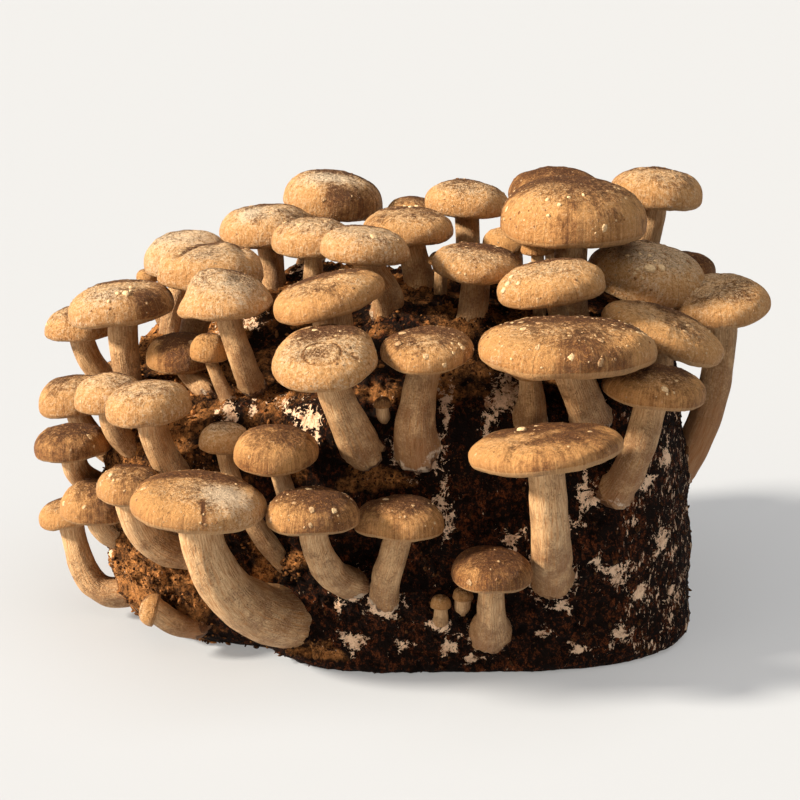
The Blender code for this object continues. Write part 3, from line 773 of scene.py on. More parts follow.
# %% Cap finish
def cap_finish():
    """Brown skin: pale and dark specks all over, more pale sand on top, partly as painted light, winding
    wrinkles on top, fine fibres on the sides, a bloom of pale powder, a browner rim with painted shade under
    its lip, and a thin pale lip."""
    f = Finish("cap_skin", 0.6, 0.3)
    rim, tone, bloom, scales = f.value("rim"), f.value("tone"), f.value("bloom"), f.value("scales")
    fibres = f.grain(1.0, 4, 0.7, along=f.value("strands", "Vector"))
    bands = f.grain(0.25, 3, 0.6, along=f.value("strands", "Vector"))
    broad, middle = f.grain(60, 3), f.grain(230, 5, 0.7, warp=0.4)
    sand, dust = f.grain(560, 5, 0.8), f.grain(1700, 2, 0.6)
    grit = (sand - 0.5) * 4.6 + (dust - 0.5) * 2.2
    top = 1 - rim.step(0.5, 1.05)
    crown = tone * 1.6 - 0.25 + top * 0.3 + (broad - 0.5) * 1.8 + (middle - 0.5) * 1.8
    crown = (crown + (0.5 - bands) * 0.9 * rim).step(0.0, 1.0)
    colour = f.mix(crown, paint(211, 157, 97), paint(112, 68, 34))
    # Darker brown at the rim and under the rolled lip: partly a browner rim, partly painted shade under the
    # lip.
    colour = f.mix(rim.step(0.85, 1.15) * 0.55, colour, paint(164, 104, 50))
    colour = f.mix(((0.48 - fibres) * 4.0 * rim).clip() * 0.5, colour, paint(112, 66, 32))
    colour = f.mix(((fibres - 0.52) * 3.0 * rim).clip() * 0.5, colour, paint(238, 198, 138))
    dark = (crown * 0.7 + top * 0.2 - grit - (middle - 0.5) * 1.0 - 0.15).step(0.0, 1.0)
    colour = f.mix(dark * (top * 0.3 + 0.45), colour, paint(76, 45, 23))
    golden = (grit * 1.2 + (middle - 0.5) * 1.5 - 0.1).step(0.0, 1.0)
    colour = f.mix(golden * crown * 0.6, colour, paint(204, 146, 80))
    # Pale sand, thicker on top: partly the cap's sandy skin, partly painted light where the top is lit.
    sandy = (grit + (middle - 0.5) * 1.2 + bloom * 0.7 + top * 0.4 - crown * 0.75 + 0.05).step(0.0, 1.0)
    colour = f.mix(sandy * (top * 0.35 + 0.35), colour, paint(236, 208, 170))
    scaly = (scales + top * 0.6 + (broad - 0.5) * 2.0 + (middle - 0.5) * 2.0 - 0.45).step(0.0, 0.8)
    wrinkles = f.lines(280, 24, 1.2) * scaly * (top * 0.8 + 0.2)
    powder = bloom * (top * 0.8 + 0.4) - crown * 0.6 + (broad - 0.5) * 1.4 + (middle - 0.5) * 1.2 + grit * 0.6
    colour = f.mix(powder.step(0.1, 1.1) * 0.65, colour, paint(236, 216, 190))
    colour = f.mix(wrinkles * 0.6, colour, paint(88, 52, 27))
    lip = (rim + (fibres - 0.5) * 0.05).step(1.15, 1.2)
    colour = f.mix(lip * 0.4, colour, paint(216, 176, 126))
    height = middle * 0.8 + sand * 0.6 + dust * 0.2 + fibres * rim * 0.25 - wrinkles * 0.22
    return f.wear(colour=colour, normal=f.bump(height, 0.0028), roughness=0.55 + sand * 0.25)


# %% [markdown]
# ## Gills
#
# The gills are cream on their edges and browner deep between them: painted shade where little light comes,
# and the brown of spores that gather there. Their shape does most of the work, so the finish only needs the
# depth that the mesh carries.


# %% Gill finish
def gill_finish():
    """Cream plates, a little browner deep between them, as painted shade and the brown of gathered spores."""
    f = Finish("gills", 0.75, 0.2)
    depth, fine = f.value("depth"), f.grain(500, 3)
    # Painted shade, with the brown of spores: darker deep between the plates.
    colour = f.mix(depth * 0.8 + (fine - 0.5) * 0.5, paint(222, 188, 142), paint(136, 94, 56))
    return f.wear(colour=colour, normal=f.bump(fine, 0.0004))


# %% [markdown]
# ## Stem flesh
#
# A stem is a bundle of cream fibres that run its whole length. It darkens in tan mottles towards its foot,
# where white threads and crumbs of the block climb it. The fibres are noise on coordinates that are drawn out
# along the stem, and the height of the same noise leans the surface, so that low light picks them out.


# %% Stem finish
def stem_finish():
    """Cream fibres along the stem, tan mottling that thickens towards the foot, white threads and crumbs."""
    f = Finish("stem_flesh", 0.65, 0.3)
    down, threads, mottle = f.value("down"), f.value("threads"), f.value("tone")
    strands = f.value("strands", "Vector")
    fibres, splits = f.grain(1.0, 4, 0.65, along=strands), f.grain(0.4, 3, along=strands)
    blotch, fine = f.grain(110, 5, 0.65), f.grain(1000, 3, 0.65)
    colour = f.mix((fibres - 0.36) * 2.8, paint(172, 122, 74), paint(242, 208, 162))
    split = (splits - 0.66).step(0.0, 0.12)
    colour = f.mix(split * 0.35, colour, paint(104, 64, 36))
    tan = down * (mottle + 0.4) + (blotch - 0.5) * 2.2 + (fine - 0.5) * 1.7 + (fibres - 0.5) * 2.2
    tan = tan.step(0.3, 1.2)
    colour = f.mix(tan * 0.75, colour, paint(138, 86, 46))
    white = (threads + (blotch - 0.5) * 1.6 + (fine - 0.5) * 0.8).step(0.15, 0.45)
    colour = f.mix(white, colour, paint(216, 194, 170))
    soil = ((down - 0.98) * 12 + (f.grain(240, 4, 0.7) - 0.5) * 3.5 + (blotch - 0.5) * 1.5).step(0.2, 0.6)
    colour = f.mix(soil * 0.9, colour, f.mix(fine, paint(30, 18, 11), paint(130, 84, 50)))
    height = fibres * 0.45 + fine * 0.35 + blotch * tan * 0.5 - split * 0.2 + soil * 0.6
    return f.wear(colour=colour, normal=f.bump(height, 0.0014))


# %% [markdown]
# ## Veil flakes
#
# The flakes are dry scraps of the veil, from cream to brown, and each carries a tone of its own.


# %% Flake finish
def wart_finish():
    """Flakes of the veil that covered the young cap, dry, and cream or brown by their tone."""
    f = Finish("veil_flakes", 0.8, 0.2)
    fine = f.grain(1200, 3)
    colour = f.mix((f.value("tone") + (fine - 0.5) * 1.2).clip(), paint(234, 204, 160), paint(128, 84, 48))
    return f.wear(colour=colour, normal=f.bump(fine, 0.0008))


FLESH = [cap_finish(), gill_finish(), stem_finish(), wart_finish()]
CAP, GILLS, STEM, FLAKES = range(4)
print("finishes of a mushroom:", [finish.name for finish in FLESH])

# %% [markdown]
# ## A cap
#
# A cap is a profile turned round an axis: the domed top, a lip that rolls under, and gills that hang from
# its underside. A turned profile alone looks like a lathe made it, so the outline swells and narrows,
# the top is lumpy, and the gills are real plates: every second column of the grid hangs down.


# %% Cap profile
GILL_PLATES_PER_MM = 4.4
MOST_PLATES = 172
CAP_RINGS_PER_MM = 1.9
GILL_RINGS = 8
LIP_ROLL = 0.13
LIP_TURN = 150
GILL_DEPTH = 0.085
GILL_RISE = 0.015


def resample(curve, count):
    """The same curve as points at even distances along it."""
    along = np.r_[0, np.cumsum(np.linalg.norm(np.diff(curve, axis=0), axis=1))]
    even = np.linspace(0, along[-1], count)
    return np.stack([np.interp(even, along, curve[:, k]) for k in range(curve.shape[1])], -1)


def top_profile(radius, height, dome):
    """Height of the top at share r of the radius: H (1 - r^2.4)^dome, so a higher power gives a brim. The lip
    is an arc of LIP_TURN degrees round ((1 - LIP_ROLL) R, -0.02 R), with a radius of LIP_ROLL R."""
    share = np.sin(np.linspace(0.03, 1, 200) * math.pi / 2)
    top = np.stack([share * radius, height * np.clip(1 - share**2.4, 0, 1) ** dome], -1)
    turn = np.radians(np.linspace(0, -LIP_TURN, 60))[1:]
    lip = np.stack([1 - LIP_ROLL + LIP_ROLL * np.cos(turn), -0.02 + LIP_ROLL * np.sin(turn)], -1) * radius
    return np.concatenate([top, lip])


example = resample(top_profile(25, 13, 0.43), 7)
print("seven points down the profile of a cap 50 mm wide:", example.round(1).tolist())

# %% [markdown]
# ## Where a cap sits
#
# Every cap leans its own way and swells and narrows round its outline. A small class keeps its middle, its
# axis and two directions across, so that a point can be given by angle, distance out and height, as on a
# cap that stands straight.


# %% Frame of a cap
class Cap:
    """The frame of one cap, and the place of any point on it."""

    def __init__(self, row, seed):
        self.middle = np.array(row[0]) * MM
        self.radius, self.height = row[1] * MM, row[2] * MM
        lean_x, lean_y = np.radians(row[3])
        self.axis = unit(np.array([np.sin(lean_x), -np.sin(lean_y), np.cos(lean_x) * np.cos(lean_y)]))
        self.across = unit(np.array([self.axis[2], 0, -self.axis[0]]))
        self.along = np.cross(self.axis, self.across)
        self.seed = seed

    def swell(self, angle, wave=0.05):
        """1 + wave (0.6 sin(2a + s) + 0.4 sin(3a + 2s)) for the seed s."""
        return 1 + wave * (0.6 * np.sin(2 * angle + self.seed) + 0.4 * np.sin(3 * angle + 2 * self.seed))

    def place(self, angle, reach, rise):
        """The point at a distance out from the axis, in the direction of the angle, and up along the axis."""
        out = np.cos(angle)[..., None] * self.across + np.sin(angle)[..., None] * self.along
        return self.middle + out * (reach * self.swell(angle))[..., None] + self.axis * rise[..., None]


example = Cap(MUSHROOMS["mushroom_27"], 26)
print("the widest cap leans along", example.axis.round(2), "from", (example.middle / MM).round(), "mm")

# %% [markdown]
# ## Marks of single caps
#
# Some caps have a dark crest, a dent, a crack or a patch of powder that nobody would expect at random. Each
# is a soft oval on the cap, seen from above, and changes one number: the tone, the bloom, the scales or the
# height. A thin oval line is the edge of a scar. Tone marks near the rim on the left front, which faces the
# warm
# light, are lighter: painted light; those on the right front, turned from it, are darker: painted shade.


# %% Marks
def from_spot(angle, share, radius, at, out):
    """Distances in mm, across and back, from the spot at an angle and a share of the radius, seen from
    above."""
    at = math.radians(at)
    across, back = share * np.cos(angle) - out * math.cos(at), share * np.sin(angle) - out * math.sin(at)
    return across * radius / MM, back * radius / MM


def marks_on(marks, kind, angle, share, radius):
    """For each mark of the kind, its amount times exp(-(u^2 + v^2)) with u and v the distances from its
    middle along it and across it over its own reach; all added up."""
    total = 0 * (angle + share)
    for what, at, out, long, wide, turn, amount in marks:
        if what == kind:
            dx, dy = from_spot(angle, share, radius, at, out)
            c, s = math.cos(math.radians(turn)), math.sin(math.radians(turn))
            total += amount * np.exp(-(((dx * c + dy * s) / long) ** 2) - ((dy * c - dx * s) / wide) ** 2)
    return total


def outlines_on(outlines, angle, share, radius):
    """For each oval exp(-((q - 1) / 0.07)^2), where q is the distance from its middle over its half widths:
    a thin line round it."""
    total = 0 * (angle + share)
    for at, out, half_x, half_y in outlines:
        dx, dy = from_spot(angle, share, radius, at, out)
        total += np.exp(-(((np.hypot(dx / half_x, dy / half_y) - 1) / 0.07) ** 2))
    return total


kept = math.exp(-((4 / 6) ** 2))
print("a mark with a reach of 6 mm keeps", round(kept, 2), "of its amount 4 mm from its middle")

# %% [markdown]
# ## Skin of a cap
#
# The top is the turned profile, pushed out by lumps and shallow flutes and sagging a little at the rim. Under
# the lip, every second column hangs down, and that alone makes the gill plates: no plate is built by itself.
# The two ends of the grid close on the axis, one above the crown and one inside the stem.


# %% Cap skin
CAP_WINDOW = (0, 0.4, 1, 1)


def wound(angle, radius, along):
    """(radius cos a, radius sin a, along): noise on these coordinates meets itself where a circle closes."""
    out = radius * np.stack([np.cos(angle), np.sin(angle)], -1)
    along = np.broadcast_to(along, (len(along), len(angle)))
    return np.concatenate([np.broadcast_to(out, (*along.shape, 2)), along[..., None]], -1)


def cap_skin(skins, cap, stem_radius, look):
    """Adds the cap's outer skin and its gills. Returns the grid of its top, its outward directions and the
    share of the radius at each point."""
    columns = 2 * int(np.clip(cap.radius / MM * GILL_PLATES_PER_MM, 24, MOST_PLATES))
    rings = int(np.clip(cap.radius / MM * CAP_RINGS_PER_MM, 14, 62))
    profile = resample(top_profile(cap.radius, cap.height, look["dome"]), rings)
    angle = np.arange(columns) / columns * TAU
    reach, rise = profile[:, :1] * np.ones(columns), profile[:, 1:]
    grid = cap.place(angle[None], reach, rise)
    normal = outward(grid)
    rim = reach / cap.radius
    under = smooth(-rise, 0.0, 0.1 * cap.radius)
    big = min(cap.radius / (22 * MM), 1.2)
    fine = rough(grid, 4 * MM, 3, cap.seed + 50) * 0.55 * (1 - 0.75 * smooth(rim, 0.65, 1.0))
    lumps = rough(grid, 13 * MM, 2, cap.seed) * 0.8 * big + fine
    flutes = rough(wound(angle, 9, rim * 1.5), 1.0, 2, cap.seed + 9)
    lumps = lumps + flutes * smooth(rim, 0.45, 0.9) * 0.16 * big
    share = rim + under * 0.3
    line = outlines_on(look["outlines"], angle[None], share, cap.radius)
    lumps = lumps + marks_on(look["marks"], "rise", angle[None], share, cap.radius) - 0.5 * line
    sag = noise(wound(angle, 1.8, [[0]]), 1.0, cap.seed + 3)[0] * 0.025 * cap.radius
    grid = grid + normal * (lumps * MM)[..., None] + cap.axis * (sag * rim**3)[..., None]
    values = dict(rim=share, strands=wound(angle, 46, rim * 3.5))
    for kind in ("tone", "bloom", "scales"):
        values[kind] = look[kind] + marks_on(look["marks"], kind, angle[None], share, cap.radius)
    values["tone"] = values["tone"] + 0.4 * line
    values["bloom"] = values["bloom"] - 0.6 * line

    # Under the lip the plates rise inwards to the stem
    inward = np.linspace(0, 1, GILL_RINGS + 1)[1:]
    inner = profile[-1]
    reach_in = inner[0] + (stem_radius * 0.8 - inner[0]) * inward
    edge = inner[1] + (GILL_RISE * cap.radius - inner[1]) * inward
    deep = GILL_DEPTH * cap.radius * np.sin(np.clip(inward * 1.25, 0, 1) * math.pi / 2)
    hang = np.arange(columns) % 2
    rise_in = edge[:, None] + deep[:, None] * (1 - hang[None])
    gills = cap.place(angle[None], reach_in[:, None], rise_in)
    gills = gills + cap.axis * (sag * (reach_in[:, None] / cap.radius) ** 3)[..., None]

    whole = np.concatenate([grid, gills])
    for key in values:
        values[key] = np.concatenate([values[key], values[key][-1:].repeat(GILL_RINGS, 0)])
    values["rim"][rings:] = 1.3
    between = (1 - hang)[None] * np.ones((GILL_RINGS, 1))
    values["depth"] = np.concatenate([np.zeros((rings, columns)), between])
    crown = cap.middle + cap.axis * (cap.height + lumps[0].mean() * MM)
    roof = cap.middle + cap.axis * (0.05 * cap.radius)
    shaped = {k: v[None] for k, v in values.items()}
    skins.add(whole[None], CAP_WINDOW, CAP, (crown[None], roof[None]), **shaped, down=0.0, threads=0.0)
    # The faces below the lip are gills
    faces = np.zeros((len(whole) - 1, columns), int)
    faces[rings - 1 :] = GILLS
    skins.kinds[-1] = np.r_[faces.ravel(), np.full(columns, CAP), np.full(columns, GILLS)]
    return grid, normal, rim


# %% [markdown]
# ## A stem
#
# A stem leaves the cap along its axis, swings out and comes to its place on the block, so its middle line
# is a curve of four control points. A tube is carried along it. Its width swells towards the foot, and
# fine ridges run its whole length.


# %% Middle line of a stem
STEM_WINDOW = (0, 0.13, 1, 0.39)
STEM_RINGS_PER_MM = 0.75
STEM_COLUMNS_PER_MM = 8
TURN_INWARD = 8 * MM


def stem_path(cap, bend, root, count):
    """Points of the cubic curve (1-t)^3 A + 3t(1-t)^2 B + 3t^2(1-t) C + t^3 D, then a turn into the block,
    and the share t of each."""
    first = cap.middle + cap.axis * 0.06 * cap.radius
    second = cap.middle - cap.axis * np.linalg.norm(cap.middle - bend) * 0.35
    t = np.linspace(0, 1, count)[:, None]
    path = (1 - t) ** 3 * first + 3 * t * (1 - t) ** 2 * second + 3 * t**2 * (1 - t) * bend + t**3 * root
    heading = unit(np.gradient(path, axis=0))
    inward = unit(BLOCK_MIDDLE + np.array((0, 0, 70)) * MM - root)
    more = np.array([0.3, 0.65, 1.0])[:, None] * TURN_INWARD
    swing = unit(heading[-1] + np.array([0.4, 0.8, 1.2])[:, None] * inward)
    path = np.concatenate([path, path[-1] + swing * more])
    heading = np.concatenate([heading, swing])
    return path, heading, np.r_[t[:, 0], 1.03, 1.06, 1.09]


bend, root = (np.array(place) * MM for place in MUSHROOMS["mushroom_27"][5:])
line = stem_path(example, bend, root, 30)[0]
length = np.linalg.norm(np.diff(line, axis=0), axis=1).sum()
print("the widest cap's stem is", (length / MM).round(), "mm long")

# %% [markdown]
# ## Skin of a stem
#
# A tube that is carried along a bent line must not twist. So the two directions across the cap are turned
# the shortest way that takes the cap's axis to the direction of the line. The tube's last rings turn into the
# block, so that its closed end can't be seen, and threads of the block cover them.


# %% Stem skin
def turned(vectors, start, ends):
    """Each vector turned the shortest way that takes start to the end: v + k x v + k x (k x v)/(1 + c),
    with k = start x end and c = start . end."""
    axis = np.cross(start, ends)
    cosine = (ends @ start)[:, None]
    once = np.cross(axis, vectors)
    return vectors + once + np.cross(axis, once) / (1 + cosine)


def stem_skin(skins, cap, row, look):
    """Adds the stem: radius top + (foot - top) t^2, swollen where it meets the gills and at its foot."""
    top, foot = np.array(row[4]) * MM
    bend, root = np.array(row[5]) * MM, np.array(row[6]) * MM
    length = np.linalg.norm(cap.middle - bend) + np.linalg.norm(bend - root)
    rings = int(np.clip(length / MM * STEM_RINGS_PER_MM, 14, 64))
    columns = int(np.clip(foot / MM * STEM_COLUMNS_PER_MM, 24, 96))
    path, heading, share = stem_path(cap, bend, root, rings)
    across = turned(cap.across, cap.axis, -heading)
    along = turned(cap.along, cap.axis, -heading)
    angle = np.arange(columns) / columns * TAU
    radius = top + (foot - top) * np.minimum(share, 1) ** 2
    bulge = 0.25 * np.exp(-((share / 0.07) ** 2)) + look["bulb"] * np.exp(-(((share - 0.9) / 0.14) ** 2))
    radius = radius * (1 + bulge) * (1 - 0.3 * smooth(share, 1.0, 1.09))
    travel = share * length / MM
    wrap = wound(angle, 2.2, travel[:, None] * 0.03)
    ridges = rough(wrap, 1.0, 3, cap.seed + 20) * 0.45 + rough(wrap * (3, 3, 1), 1.0, 2, cap.seed + 28) * 0.14
    lumps = noise(wrap * (0.5, 0.5, 4), 1.0, cap.seed + 33) * 0.5 * (0.3 + share[:, None])
    ragged = rough(wrap * (2, 2, 8), 1.0, 2, cap.seed + 41) * 1.5 + 0.6
    lumps = lumps + ragged * smooth(share, 0.9, 1.03)[:, None]
    wide = radius[:, None] * cap.swell(angle, 0.06)[None] + (ridges + lumps) * MM * min(foot / (7 * MM), 1.3)
    out = np.cos(angle)[None, :, None] * across[:, None] + np.sin(angle)[None, :, None] * along[:, None]
    grid = path[:, None] + out * wide[..., None]
    grid[..., 2] = np.maximum(grid[..., 2], 0.8 * MM)
    strands = wound(angle, 15, travel[:, None] * 0.12)
    threads = (share[:, None] - 1.0) * 5 + look["threads"] + rough(grid, 6 * MM, 2, cap.seed + 70) * 0.8
    skins.add(grid[None], STEM_WINDOW, STEM, strands=strands[None], down=share[None, :, None],
              threads=threads[None], rim=1.0, tone=look["mottle"], bloom=0.0, scales=0.0, depth=0.0)


# %% [markdown]
# ## Flakes on the caps
#
# Young caps wear a veil, and scraps of it stay on the grown cap as flakes and warts, some cream and some
# brown. Each one is a low dome of three rings of seven points on the cap's grid. Small ones are scattered,
# wide flat ones lie on the scaly caps, and the warts that catch the eye are placed one by one.


# %% Flake domes
FLAKE_WINDOW = (0, 0, 1, 0.12)
FLAKE_SIDES = 7
FLAKE_WIDE = np.array([0.4, 0.8, 1.05])
FLAKE_HIGH = np.array([1.0, 0.7, -0.4])


def flake_skins(skins, grid, normal, rng, flakes):
    """Adds low domes: rings at 0.4, 0.8 and 1.05 of the flake's size, raised by 1, 0.7 and -0.4 of its
    height along the cap's own outward direction."""
    ring, column, size, height, brown = flakes
    if not len(ring):
        return
    centre, up = grid[ring, column], normal[ring, column]
    side = unit(np.cross(up, np.array([0.37, 0.61, -0.7])))
    other = np.cross(up, side)
    angle = np.arange(FLAKE_SIDES) / FLAKE_SIDES * TAU
    uneven = 1 + 0.3 * rng.uniform(-1, 1, (len(ring), 1, FLAKE_SIDES))
    stretch = rng.uniform(0.65, 1.0, len(ring))[:, None, None]
    spread = FLAKE_WIDE[None, :, None] * size[:, None, None] * uneven
    rise = FLAKE_HIGH[None, :, None] * height[:, None, None]
    x, y = spread * np.cos(angle), spread * np.sin(angle) * stretch
    points = centre[:, None, None] + side[:, None, None] * x[..., None] + other[:, None, None] * y[..., None]
    points = points + up[:, None, None] * rise[..., None]
    skins.add(points, FLAKE_WINDOW, FLAKES, tone=brown[:, None, None], strands=0 * points, rim=0.5,
              bloom=0.0, scales=0.0, depth=0.0, down=0.0, threads=0.0)


print("height of a flake 1 mm wide at its rings, mm:", (FLAKE_HIGH * 0.35).round(2))

# %% [markdown]
# ## Where the flakes lie
#
# The veil tears as a cap grows, and leaves its flakes scattered, thickest towards the rim. They could be
# strewn by a particle system, but random rings and columns of the cap's own grid give each flake its place
# and its outward direction at once. The cap's area sets how many there are, and warts that catch the eye have
# places of their own.


# %% Places of the flakes
def flakes_of(rim, rng, look, cap):
    """Ring, column, size, height and brownness of each flake: scattered small ones of 0.25 to 0.9 mm, more of
    them towards the rim; wide flat ones of 0.9 to 2.2 mm; and the warts at their own angle and share."""
    columns = rim.shape[1]
    top = rim[: len(rim) * 3 // 4, 0]
    area = (cap.radius / (24 * MM)) ** 2
    small, wide, warts = int(look["flakes"] * area), int(look["plates"] * area), look["warts"]
    usable = np.flatnonzero(top > 0.12)
    weight = rim[usable, 0] ** 1.5
    ring = rng.choice(usable, small + wide, p=weight / weight.sum())
    column = rng.integers(0, columns, small + wide)
    size = np.r_[rng.uniform(0.3, 0.7, small) ** 1.5 * 1.5, rng.uniform(0.9, 2.2, wide)] * MM
    height = size * np.r_[np.full(small, 0.35), np.full(wide, 0.14)]
    brown = np.r_[rng.uniform(0.3, 1.0, small), rng.uniform(0.15, 0.8, wide)]
    if warts:
        degrees, share, reach = np.array(warts, float).T
        ring = np.r_[ring, np.searchsorted(top, share)]
        column = np.r_[column, (degrees / 360 * columns).round().astype(int) % columns]
        size, height = np.r_[size, reach * MM], np.r_[height, reach * MM * 0.55]
        brown = np.r_[brown, np.full(len(warts), 0.05)]
    return ring, column, size, height, brown


few, many = (round(14 * (radius / 24) ** 2) for radius in (12, 36))
print("small flakes on a plain cap 24 mm wide:", few, "and on one 72 mm wide:", many)
